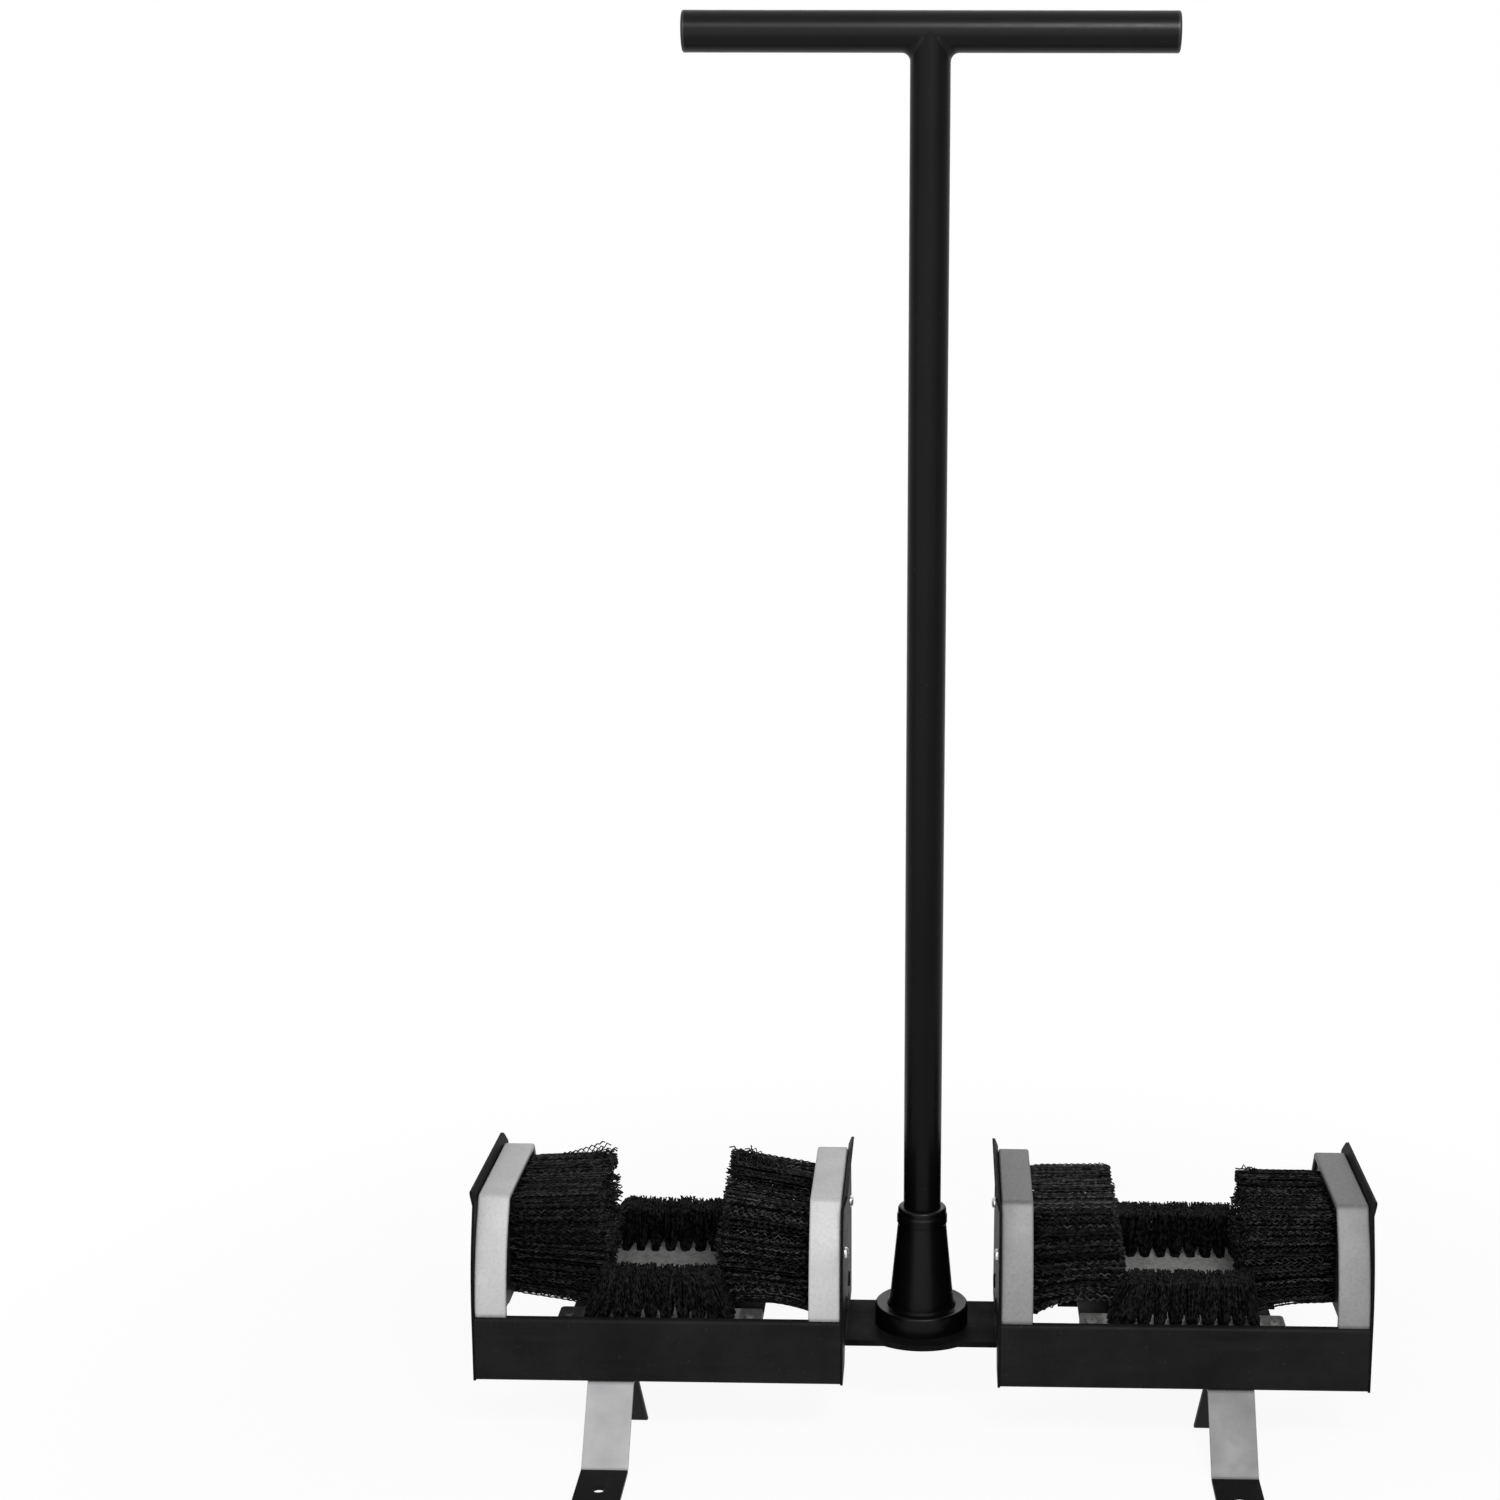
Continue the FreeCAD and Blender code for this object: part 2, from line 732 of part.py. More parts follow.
def unit_pieces():
    # The pieces of the right unit, by name
    wall = front_wall()
    leg = front_leg()
    row = bottom_row()
    fender = outer_fender()
    block = outer_side_block()
    bristles = outer_side_bristles()
    return {
        "outer_side_plate": outer_plate(),
        "inner_side_plate": inner_plate(),
        "front_wall": wall,
        "rear_wall": mirrored_y(wall),
        "outer_fender": fender,
        "inner_fender": mirrored_x(fender, unit_centre),
        "outer_brush_block": block,
        "inner_brush_block": mirrored_x(block, unit_centre),
        "outer_bristles": bristles,
        "inner_bristles": mirrored_x(bristles, unit_centre),
        "side_brush_screws": side_screws(),
        "carrier_plate": carrier_plate(),
        "bottom_brush_block": bottom_block(),
        "bottom_brush_screws": block_screws(),
        "front_bristles": row,
        "rear_bristles": mirrored_y(row),
        "front_leg": leg,
        "rear_leg": mirrored_y(leg),
        "leg_bolts": leg_bolts(),
        "leg_nuts": leg_nuts(),
    }


def centre_pieces():
    cap = right_handle_cap()
    return {
        "crossbar": crossbar(),
        "crossbar_bolts": crossbar_bolts(),
        "crossbar_nuts": crossbar_nuts(),
        "hub_socket": hub_socket(),
        "hub_screws": hub_screws(),
        "pole_grub_screw": pole_grub_screw(),
        "pole_tube": pole_tube(),
        "handle_bar": handle_bar(),
        "handle_weld": handle_weld(),
        "right_handle_cap": cap,
        "left_handle_cap": mirrored_x(cap, 0),
    }


def main():
    os.makedirs("parts", exist_ok=True)
    pieces = centre_pieces()
    for name, shape in unit_pieces().items():
        pieces["right_" + name] = shape
        pieces["left_" + name] = mirrored_x(shape, 0)
    for name, shape in pieces.items():
        shape.exportStep("parts/" + name + ".step")
        box = shape.BoundBox
        print(f"{name:26s} solids {len(shape.Solids)} valid {shape.isValid()} "
              f"volume {shape.Volume / 1000:8.2f} cm3 z {box.ZMin:7.1f} to {box.ZMax:7.1f}")


main()
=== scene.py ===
# Boot brush stand: finishes, crimped bristles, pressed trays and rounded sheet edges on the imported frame
import bpy
import bmesh
import math
import random
from mathutils import Matrix, Vector


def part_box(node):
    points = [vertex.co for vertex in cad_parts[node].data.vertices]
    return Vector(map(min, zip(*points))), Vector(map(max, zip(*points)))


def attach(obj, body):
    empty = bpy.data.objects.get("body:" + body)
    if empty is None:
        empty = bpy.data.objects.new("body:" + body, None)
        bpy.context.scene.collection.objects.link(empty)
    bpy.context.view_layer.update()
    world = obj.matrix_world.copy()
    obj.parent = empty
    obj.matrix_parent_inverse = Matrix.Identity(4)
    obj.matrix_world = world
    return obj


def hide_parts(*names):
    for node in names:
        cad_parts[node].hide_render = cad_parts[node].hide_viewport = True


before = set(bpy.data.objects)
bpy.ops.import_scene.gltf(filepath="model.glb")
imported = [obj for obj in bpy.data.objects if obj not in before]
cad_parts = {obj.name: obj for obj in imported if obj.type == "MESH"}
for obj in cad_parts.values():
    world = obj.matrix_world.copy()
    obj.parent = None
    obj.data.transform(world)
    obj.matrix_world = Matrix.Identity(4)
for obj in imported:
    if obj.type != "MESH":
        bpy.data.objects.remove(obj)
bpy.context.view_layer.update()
print("frame loaded:", len(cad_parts), "nodes")

mm = 0.001
units = ("right", "left")


# Helpers for pieces

# Points nearer than mergeGap are joined, and faces that differ by less than flatAngle become one
cleaning = {"mergeGap": 0.002 * mm, "flatAngle": math.radians(0.5)}

rounding = {"sharpAngle": math.radians(40), "faceWeight": 100}


def pieceName(nodeName, ending=""):
    first, *others = nodeName.split("_")
    return first + "".join(word.title() for word in others) + ending


def newObject(name, mesh, material, nodes):
    obj = bpy.data.objects.new(name, mesh)
    bpy.context.scene.collection.objects.link(obj)
    mesh.materials.clear()
    mesh.materials.append(material)
    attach(obj, "root")
    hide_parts(*nodes)
    return obj


def finishMesh(name, bm):
    for face in bm.faces:
        face.smooth = True
    mesh = bpy.data.meshes.new(name)
    bm.to_mesh(mesh)
    bm.free()
    return mesh


def roundEdges(obj, width, segments):
    # Rounded edges that catch the light, and large flat faces that keep one shade
    bevel = obj.modifiers.new("roundedEdges", "BEVEL")
    bevel.width = width
    bevel.segments = segments
    bevel.limit_method = "ANGLE"
    bevel.angle_limit = rounding["sharpAngle"]
    evenShade = obj.modifiers.new("evenShade", "WEIGHTED_NORMAL")
    evenShade.mode = "FACE_AREA"
    evenShade.weight = rounding["faceWeight"]


def carved(mesh, boxes):
    # A copy of the mesh with boxes cut away, each given as its low and high corner
    bm = bmesh.new()
    for low, high in boxes:
        size = Matrix.Diagonal((*(high - low), 1))
        bmesh.ops.create_cube(bm, size=1, matrix=Matrix.Translation((low + high) / 2) @ size)
    cutterMesh = bpy.data.meshes.new("cutter")
    bm.to_mesh(cutterMesh)
    bm.free()
    body = bpy.data.objects.new("carveBody", mesh)
    cutter = bpy.data.objects.new("carveCutter", cutterMesh)
    for obj in (body, cutter):
        bpy.context.scene.collection.objects.link(obj)
    carve = body.modifiers.new("carve", "BOOLEAN")
    carve.operation = "DIFFERENCE"
    carve.solver = "EXACT"
    carve.object = cutter
    result = bpy.data.meshes.new_from_object(body.evaluated_get(bpy.context.evaluated_depsgraph_get()))
    for obj in (body, cutter):
        bpy.data.objects.remove(obj)
    return result


def softenedNode(nodeName, width, segments, material, slotName, boxes=()):
    # A merged copy of a construction piece with its sharp edges rounded, and boxes cut away where given
    name = pieceName(nodeName)
    bm = bmesh.new()
    bm.from_mesh(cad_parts[nodeName].data)
    bmesh.ops.remove_doubles(bm, verts=bm.verts, dist=cleaning["mergeGap"])
    bmesh.ops.recalc_face_normals(bm, faces=bm.faces)
    bmesh.ops.dissolve_limit(bm, angle_limit=cleaning["flatAngle"], verts=bm.verts, edges=bm.edges)
    mesh = finishMesh(name, bm)
    if boxes:
        mesh = carved(mesh, boxes)
        mesh.name = name
    obj = newObject(name, mesh, material, [nodeName])
    roundEdges(obj, width, segments)


# Helpers for materials

def startMaterial(name, colour, roughness, metallic, specular):
    mat = bpy.data.materials.new(name)
    mat.use_nodes = True
    mat.diffuse_color = (*colour, 1)
    surface = mat.node_tree.nodes["Principled BSDF"]
    surface.inputs["Base Color"].default_value = (*colour, 1)
    surface.inputs["Roughness"].default_value = roughness
    surface.inputs["Metallic"].default_value = metallic
    surface.inputs["Specular IOR Level"].default_value = specular
    return mat, mat.node_tree, surface


def objectPlace(tree, stretch=(1, 1, 1)):
    place = tree.nodes.new("ShaderNodeTexCoord")
    mapping = tree.nodes.new("ShaderNodeMapping")
    mapping.inputs["Scale"].default_value = stretch
    tree.links.new(place.outputs["Object"], mapping.inputs["Vector"])
    return mapping.outputs["Vector"]


def addNoise(tree, place, scale, detail, roughness=0.5, distortion=0.0):
    noise = tree.nodes.new("ShaderNodeTexNoise")
    noise.inputs["Scale"].default_value = scale
    noise.inputs["Detail"].default_value = detail
    noise.inputs["Roughness"].default_value = roughness
    noise.inputs["Distortion"].default_value = distortion
    tree.links.new(place, noise.inputs["Vector"])
    return noise.outputs["Fac"]


def remap(tree, value, fromLow, fromHigh, toLow, toHigh, smooth=False):
    node = tree.nodes.new("ShaderNodeMapRange")
    node.interpolation_type = "SMOOTHSTEP" if smooth else "LINEAR"
    node.inputs["From Min"].default_value = fromLow
    node.inputs["From Max"].default_value = fromHigh
    node.inputs["To Min"].default_value = toLow
    node.inputs["To Max"].default_value = toHigh
    tree.links.new(value, node.inputs["Value"])
    return node.outputs["Result"]


def noiseLevels(tree, place, noise, levels, smooth=False):
    return remap(tree, addNoise(tree, place, *noise), *levels, smooth)


def combine(tree, operation, first, second):
    node = tree.nodes.new("ShaderNodeMath")
    node.operation = operation
    for socket, value in zip(node.inputs, (first, second)):
        if isinstance(value, (int, float)):
            socket.default_value = value
        else:
            tree.links.new(value, socket)
    return node.outputs["Value"]


def mixColours(tree, factor, first, second):
    # Inputs 6 and 7 and output 2 of the mix node are its colours
    node = tree.nodes.new("ShaderNodeMix")
    node.data_type = "RGBA"
    tree.links.new(factor, node.inputs["Factor"])
    for socket, value in ((node.inputs[6], first), (node.inputs[7], second)):
        if isinstance(value, tuple):
            socket.default_value = (*value, 1)
        else:
            tree.links.new(value, socket)
    return node.outputs[2]


def linkSurface(tree, surface, colour, roughness):
    tree.links.new(colour, surface.inputs["Base Color"])
    tree.links.new(roughness, surface.inputs["Roughness"])


def addBump(tree, surface, height, distance, strength):
    node = tree.nodes.new("ShaderNodeBump")
    node.inputs["Strength"].default_value = strength
    node.inputs["Distance"].default_value = distance
    tree.links.new(height, node.inputs["Height"])
    tree.links.new(node.outputs["Normal"], surface.inputs["Normal"])


def placeParts(tree, place):
    parts = tree.nodes.new("ShaderNodeSeparateXYZ")
    tree.links.new(place, parts.inputs["Vector"])
    return parts.outputs


def strandValue(tree, label):
    node = tree.nodes.new("ShaderNodeAttribute")
    node.attribute_name = label
    return node.outputs["Fac"]


# Finishes: a noise is given as scale, detail, roughness and distortion, where the last two may be left out.
# Levels are the low and the high value that are read, then what these two become. A bump is given as
# depth and strength

def blackPaintFinish(name, tone):
    # Satin paint with worn clouds, fine streaks and specks of dust; a tone below 1 darkens it all as
    # painted shade
    look = {"colour": (0.0052, 0.0052, 0.0054), "worn": (0.0115, 0.0115, 0.0117),
            "dust": (0.05, 0.05, 0.049), "roughness": 0.5, "specular": 0.055,
            "cloud": (24, 5, 0.62), "cloudLevels": (0.35, 0.7, 0, 0.8),
            "streakStretch": (14, 60, 110), "streak": (1, 4, 0.6), "streakLevels": (0.5, 0.75, 0, 0.5),
            "speck": (420, 2, 0.6), "speckLevels": (0.71, 0.75, 0, 0.5),
            "patch": (60, 5, 0.65), "roughLevels": (0.3, 0.7, 0.42, 0.58),
            "peel": (900, 2, 0.5), "peelBump": (0.05 * mm, 0.6)}
    colour = tuple(tone * v for v in look["colour"])
    worn = tuple(tone * v for v in look["worn"])
    mat, tree, surface = startMaterial(name, colour, look["roughness"], 0, look["specular"] * tone)
    place = objectPlace(tree)
    cloud = noiseLevels(tree, place, look["cloud"], look["cloudLevels"])
    shade = mixColours(tree, cloud, colour, worn)
    stretched = objectPlace(tree, look["streakStretch"])
    streak = noiseLevels(tree, stretched, look["streak"], look["streakLevels"])
    shade = mixColours(tree, streak, shade, worn)
    specks = noiseLevels(tree, place, look["speck"], look["speckLevels"], True)
    shade = mixColours(tree, specks, shade, look["dust"])
    linkSurface(tree, surface, shade, noiseLevels(tree, place, look["patch"], look["roughLevels"]))
    addBump(tree, surface, addNoise(tree, place, *look["peel"]), *look["peelBump"])
    return mat


def cloudedFinish(name, look):
    # Two shades in soft clouds that change the gloss as well, and a fine grain
    mat, tree, surface = startMaterial(name, look["colour"], look["roughness"], look["metallic"],
                                       look["specular"])
    place = objectPlace(tree)
    cloud = addNoise(tree, place, *look["cloud"])
    colour = mixColours(tree, remap(tree, cloud, *look["cloudLevels"]), look["colour"], look["worn"])
    linkSurface(tree, surface, colour, remap(tree, cloud, *look["roughLevels"]))
    addBump(tree, surface, addNoise(tree, place, *look["grain"]), *look["grainBump"])
    return mat


def barFinish():
    # Dull black paint of the crossbar
    return cloudedFinish("dullBlackPaint", {
        "colour": (0.0045, 0.0045, 0.0047), "worn": (0.009, 0.009, 0.009), "roughness": 0.6,
        "metallic": 0, "specular": 0.02, "cloud": (40, 5, 0.62), "cloudLevels": (0.4, 0.7, 0, 1),
        "roughLevels": (0.4, 0.7, 0.62, 0.5), "grain": (900, 2, 0.5), "grainBump": (0.05 * mm, 0.6)})


def zincFinish():
    # Bright plate of the screws, bolts and nuts
    return cloudedFinish("zincPlate", {
        "colour": (0.62, 0.63, 0.64), "worn": (0.38, 0.40, 0.42), "roughness": 0.3,
        "metallic": 1, "specular": 0.5, "cloud": (500, 4, 0.65), "cloudLevels": (0.4, 0.7, 0, 1),
        "roughLevels": (0.3, 0.7, 0.24, 0.42), "grain": (1800, 2), "grainBump": (0.02 * mm, 0.5)})


def mouldedFinish():
    # Black moulding of the side brush blocks and the handle caps
    return cloudedFinish("mouldedBlack", {
        "colour": (0.0075, 0.0075, 0.0078), "worn": (0.013, 0.013, 0.013), "roughness": 0.42,
        "metallic": 0, "specular": 0.3, "cloud": (45, 4, 0.6), "cloudLevels": (0.35, 0.7, 0, 1),
        "roughLevels": (0.3, 0.7, 0.34, 0.5), "grain": (1400, 3, 0.6), "grainBump": (0.05 * mm, 0.5)})


def satinSteelFinish(unit):
    # Light grey pressed sheet, finely mottled, with faint clouds and rubbed marks. The right unit is
    # painted darker as painted shade, and the top faces take a painted tone of their own for how light
    # falls on them
    # The right unit's colours are painted shade, and its top tone is darker still
    tones = {"left": {"light": (0.445, 0.445, 0.45), "dark": (0.35, 0.35, 0.355),
                      "upper": (0.45, 0.45, 0.455)},
             "right": {"light": (0.23, 0.23, 0.233), "dark": (0.17, 0.17, 0.173),
                       "upper": (0.1, 0.1, 0.102)}}
    look = {**tones[unit], "roughness": 0.52, "metallic": 0.15, "specular": 0.25,
            "topDepth": 2.5 * mm, "soft": 2 * mm,
            "cloud": (26, 4, 0.6, 0.4), "cloudLevels": (0.35, 0.75, 0, 0.5),
            "mottle": (420, 3, 0.7), "mottleLevels": (0.46, 0.7, 0, 0.75),
            "smudge": (62, 5, 0.62, 1.2), "smudgeLevels": (0.62, 0.76, 0, 0.5),
            "roughLevels": (0.3, 0.7, 0.46, 0.6), "mottleBump": (0.03 * mm, 0.5)}
    mat, tree, surface = startMaterial(unit + "SatinSteel", look["light"], look["roughness"],
                                       look["metallic"], look["specular"])
    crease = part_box(f"{unit}_outer_fender")[1].z - look["topDepth"]
    place = objectPlace(tree)
    cloud = addNoise(tree, place, *look["cloud"])
    mottle = addNoise(tree, place, *look["mottle"])
    height = placeParts(tree, place)["Z"]
    # Above the crease the top faces take the painted tone for how light falls on them
    above = remap(tree, height, crease - look["soft"], crease + look["soft"], 0, 1, True)
    colour = mixColours(tree, above, look["light"], look["upper"])
    colour = mixColours(tree, remap(tree, cloud, *look["cloudLevels"]), colour, look["dark"])
    colour = mixColours(tree, remap(tree, mottle, *look["mottleLevels"]), colour, look["dark"])
    smudge = noiseLevels(tree, place, look["smudge"], look["smudgeLevels"], True)
    colour = mixColours(tree, smudge, colour, look["dark"])
    linkSurface(tree, surface, colour, remap(tree, cloud, *look["roughLevels"]))
    addBump(tree, surface, mottle, *look["mottleBump"])
    return mat


def legFinish(unit):
    # Satin strap with a dark foot pad and a prop darkened as painted shade
    # The right unit's strap colours are painted darker as painted shade
    tones = {"left": {"light": (0.347, 0.347, 0.352), "dark": (0.285, 0.285, 0.29)},
             "right": {"light": (0.19, 0.19, 0.193), "dark": (0.16, 0.16, 0.163)}}
    look = {**tones[unit], "paint": (0.003, 0.003, 0.003), "chip": (0.012, 0.012, 0.012),
            "roughness": 0.5, "metallic": 0.2, "specular": 0.1,
            "padLength": 66 * mm, "flatLength": 8.5 * mm, "edge": 1 * mm,
            "cloud": (32, 4, 0.6), "cloudLevels": (0.3, 0.7, 0, 1),
            "grainStretch": (800, 30, 30), "grain": (1, 3, 0.6), "grainLevels": (0.5, 0.85, 0, 0.4),
            "chips": (260, 4, 0.65), "chipLevels": (0.56, 0.7, 0, 0.6),
            "roughLevels": (0.3, 0.7, 0.42, 0.56), "pores": (500, 4, 0.6), "poreBump": (0.06 * mm, 0.5)}
    mat, tree, surface = startMaterial(unit + "LegStrap", look["light"], look["roughness"],
                                       look["metallic"], look["specular"])
    padFrom = -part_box(f"{unit}_front_leg")[0].y - look["padLength"]
    propFrom = -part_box(f"{unit}_front_wall")[0].y - look["flatLength"]
    place = objectPlace(tree)
    cloud = addNoise(tree, place, *look["cloud"])
    colour = mixColours(tree, remap(tree, cloud, *look["cloudLevels"]), look["light"], look["dark"])
    stretched = objectPlace(tree, look["grainStretch"])
    grain = noiseLevels(tree, stretched, look["grain"], look["grainLevels"])
    colour = mixColours(tree, grain, colour, look["dark"])
    reach = combine(tree, "ABSOLUTE", placeParts(tree, place)["Y"], 0)
    pad = remap(tree, reach, padFrom, padFrom + look["edge"], 0, 1, True)
    # The prop is darkened as painted shade for the shade under the box, and the foot pad is dark
    prop = remap(tree, reach, propFrom + look["edge"], propFrom, 0, 1, True)
    darkPadAndShadedProp = combine(tree, "MAXIMUM", pad, prop)
    chips = noiseLevels(tree, place, look["chips"], look["chipLevels"], True)
    paint = mixColours(tree, chips, look["paint"], look["chip"])
    colour = mixColours(tree, darkPadAndShadedProp, colour, paint)
    linkSurface(tree, surface, colour, remap(tree, cloud, *look["roughLevels"]))
    tree.links.new(remap(tree, darkPadAndShadedProp, 0, 1, look["metallic"], 0), surface.inputs["Metallic"])
    addBump(tree, surface, addNoise(tree, place, *look["pores"]), *look["poreBump"])
    return mat


def blockFinish(unit):
    # The bottom brush body: black moulding, pale with dust on top. There is more dust in the right unit,
    # a block is darker at both ends, and the outer end of the left one has a painted shadow of the side
    # bristles
    dusts = {"right": {"dust": (0.275, 0.272, 0.267), "endShare": 0.5},
             "left": {"dust": (0.225, 0.222, 0.219), "endShare": 0.32}}
    look = {**dusts[unit], "colour": (0.011, 0.011, 0.011), "roughness": 0.5, "specular": 0.25,
            "topDepth": 2.5 * mm, "soft": 2 * mm, "endsFrom": 58 * mm, "endsTo": 62 * mm,
            "outerFrom": 20.9 * mm, "outerTo": 26.9 * mm, "outerShare": 0.2,
            "grain": (240, 5, 0.66), "patchLevels": (0.3, 0.62, 0.5, 1),
            "roughLevels": (0.3, 0.7, 0.42, 0.62), "grainBump": (0.08 * mm, 0.5)}
    mat, tree, surface = startMaterial(unit + "DustyMoulding", look["colour"], look["roughness"], 0,
                                       look["specular"])
    low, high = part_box(f"{unit}_bottom_brush_block")
    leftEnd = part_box("left_bottom_brush_block")[0].x
    topFrom = high.z - look["topDepth"]
    place = objectPlace(tree)
    parts = placeParts(tree, place)
    dustWithPaintedShadow = remap(tree, parts["Z"], topFrom, topFrom + look["soft"], 0, 1, True)
    # A painted shadow of the side bristles over the outer end of the left block
    outer = remap(tree, parts["X"], leftEnd + look["outerFrom"], leftEnd + look["outerTo"],
                  look["outerShare"], 1, True)
    dustWithPaintedShadow = combine(tree, "MULTIPLY", dustWithPaintedShadow, outer)
    offMiddle = combine(tree, "ABSOLUTE", parts["X"], 0)
    offMiddle = combine(tree, "SUBTRACT", offMiddle, abs(low.x + high.x) / 2)
    offMiddle = combine(tree, "ABSOLUTE", offMiddle, 0)
    # Both ends of a block are darker
    ends = remap(tree, offMiddle, look["endsFrom"], look["endsTo"], 1, look["endShare"], True)
    dustWithPaintedShadow = combine(tree, "MULTIPLY", dustWithPaintedShadow, ends)
    grain = addNoise(tree, place, *look["grain"])
    dustWithPaintedShadow = combine(tree, "MULTIPLY", dustWithPaintedShadow, remap(tree, grain, *look["patchLevels"], True))
    colour = mixColours(tree, dustWithPaintedShadow, look["colour"], look["dust"])
    linkSurface(tree, surface, colour, remap(tree, grain, *look["roughLevels"]))
    addBump(tree, surface, grain, *look["grainBump"])
    return mat


def glossPaintFinish(name, specular):
    # Smooth black paint of the pole, the handle and the hub, with faint clouds and specks of dust
    look = {"colour": (0.0012, 0.0012, 0.0013), "soft": (0.0022, 0.0022, 0.0023),
            "dust": (0.03, 0.03, 0.03), "roughness": 0.32,
            "cloud": (18, 4, 0.6), "cloudLevels": (0.35, 0.7, 0, 1),
            "speck": (380, 2, 0.6), "speckLevels": (0.72, 0.76, 0, 0.4),
            "patch": (70, 4, 0.6), "roughLevels": (0.3, 0.7, 0.28, 0.36),
            "peel": (700, 2, 0.5), "peelBump": (0.03 * mm, 0.4)}
    mat, tree, surface = startMaterial(name, look["colour"], look["roughness"], 0, specular)
    place = objectPlace(tree)
    cloud = noiseLevels(tree, place, look["cloud"], look["cloudLevels"])
    colour = mixColours(tree, cloud, look["colour"], look["soft"])
    specks = noiseLevels(tree, place, look["speck"], look["speckLevels"], True)
    colour = mixColours(tree, specks, colour, look["dust"])
    linkSurface(tree, surface, colour, noiseLevels(tree, place, look["patch"], look["roughLevels"]))
    addBump(tree, surface, addNoise(tree, place, *look["peel"]), *look["peelBump"])
    return mat


def bristleFinish():
    # Each filament has its own shade, and painted glints and shade along its crimp; the ends are a little
    # dusty
    look = {"deep": (0.0007, 0.0007, 0.0008), "pale": (0.07, 0.07, 0.071), "dusty": (0.03, 0.029, 0.028),
            "roughness": 0.5, "specular": 0.05, "shadeLevels": (0, 1, 0.12, 1),
            "pits": (260, 2, 0.5), "crimpGlintShadeLevels": (0.42, 0.6, 0.06, 1), "endLevels": (0.92, 1, 0, 0.12),
            "roughLevels": (0, 1, 0.45, 0.6), "grain": (2500, 2), "grainBump": (0.03 * mm, 0.4)}
    mat, tree, surface = startMaterial("blackNylon", look["deep"], look["roughness"], 0, look["specular"])
    place = objectPlace(tree)
    shade = strandValue(tree, "strandShade")
    # Painted glints and shade along the crimp of each filament
    pits = noiseLevels(tree, place, look["pits"], look["crimpGlintShadeLevels"], True)
    light = combine(tree, "MULTIPLY", remap(tree, shade, *look["shadeLevels"]), pits)
    colour = mixColours(tree, light, look["deep"], look["pale"])
    ends = remap(tree, strandValue(tree, "strandAlong"), *look["endLevels"], True)
    colour = mixColours(tree, ends, colour, look["dusty"])
    linkSurface(tree, surface, colour, remap(tree, shade, *look["roughLevels"]))
    addBump(tree, surface, addNoise(tree, place, *look["grain"]), *look["grainBump"])
    return mat


blackPaint = blackPaintFinish("blackPaint", 1)
# The side plates take a darker copy of the same black paint: painted shade
platePaint = blackPaintFinish("platePaint", 0.55)
dullBlackPaint = barFinish()
satinSteel = {unit: satinSteelFinish(unit) for unit in units}
legStrap = {unit: legFinish(unit) for unit in units}
zincPlate = zincFinish()
mouldedBlack = mouldedFinish()
dustyMoulding = {unit: blockFinish(unit) for unit in units}
glossBlackPaint = glossPaintFinish("glossBlackPaint", 0.14)
polePaint = glossPaintFinish("polePaint", 0.09)
blackNylon = bristleFinish()

# The finish of a node goes by the longest of these endings that its name has
finishOfNode = {
    "side_plate": platePaint, "wall": blackPaint, "carrier_plate": blackPaint, "crossbar": dullBlackPaint,
    "fender": satinSteel, "leg": legStrap, "brush_block": mouldedBlack, "bottom_brush_block": dustyMoulding,
    "handle_cap": mouldedBlack, "bristles": blackNylon, "hub_socket": glossBlackPaint,
    "pole_tube": polePaint, "handle_bar": glossBlackPaint, "handle_weld": glossBlackPaint,
    "screws": zincPlate, "screw": zincPlate, "bolts": zincPlate, "nuts": zincPlate,
    "crossbar_bolts": blackPaint, "bottom_brush_screws": dustyMoulding,
}
for nodeName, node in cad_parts.items():
    ending = max((key for key in finishOfNode if nodeName.endswith(key)), key=len)
    finish = finishOfNode[ending]
    if isinstance(finish, dict):
        finish = finish[nodeName.split("_")[0]]
    if node.material_slots:
        node.material_slots[0].material = finish
    else:
        node.data.materials.append(finish)
print("finishes on all nodes")


# Sheet, strap and moulded pieces with rounded edges

# Width and segments of the rounding
softEdges = {"sheet": (0.45 * mm, 2), "strap": (0.7 * mm, 2), "block": (1.4 * mm, 3)}

# The bottom flange of a wall is cut back beside the leg: how far from its ends, how deep and how high
flangeEnd = {"length": 50 * mm, "depth": 12 * mm, "height": 2.5 * mm, "past": 5 * mm}


def flangeEndBoxes(wall):
    low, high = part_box(wall)
    f = flangeEnd
    if low.y < 0:
        fromY, toY = low.y + f["depth"], high.y + f["past"]
    else:
        fromY, toY = low.y - f["past"], high.y - f["depth"]
    spans = ((low.x - f["past"], low.x + f["length"]), (high.x - f["length"], high.x + f["past"]))
    bottom, top = low.z - f["past"], low.z + f["height"]
    return [(Vector((x, fromY, bottom)), Vector((end, toY, top))) for x, end in spans]


for unit in units:
    for name in ("outer_side_plate", "inner_side_plate"):
        softenedNode(f"{unit}_{name}", *softEdges["sheet"], platePaint, "black_paint")
    for name in ("front_wall", "rear_wall"):
        boxes = flangeEndBoxes(f"{unit}_{name}")
        softenedNode(f"{unit}_{name}", *softEdges["sheet"], blackPaint, "black_paint", boxes)
    for name in ("front_leg", "rear_leg"):
        softenedNode(f"{unit}_{name}", *softEdges["strap"], legStrap[unit], "satin_steel")
    softenedNode(f"{unit}_bottom_brush_block", *softEdges["block"], dustyMoulding[unit], "black_plastic")
softenedNode("crossbar", *softEdges["strap"], dullBlackPaint, "black_paint")
print("rounded sheet edges done")


# Pressed fender trays

fenderTray = {"sheet": 1.2 * mm, "flange": 4.0 * mm, "edge": 1.7 * mm, "edgeSteps": 4, "bowUp": 37.5 * mm,
              "topInset": 30.0 * mm, "bowReach": 34.0 * mm, "bowSteps": 12, "cornerReach": 3.2 * mm,
              "cornerSteps": 5, "near": 0.01 * mm, "openShare": 1.5}


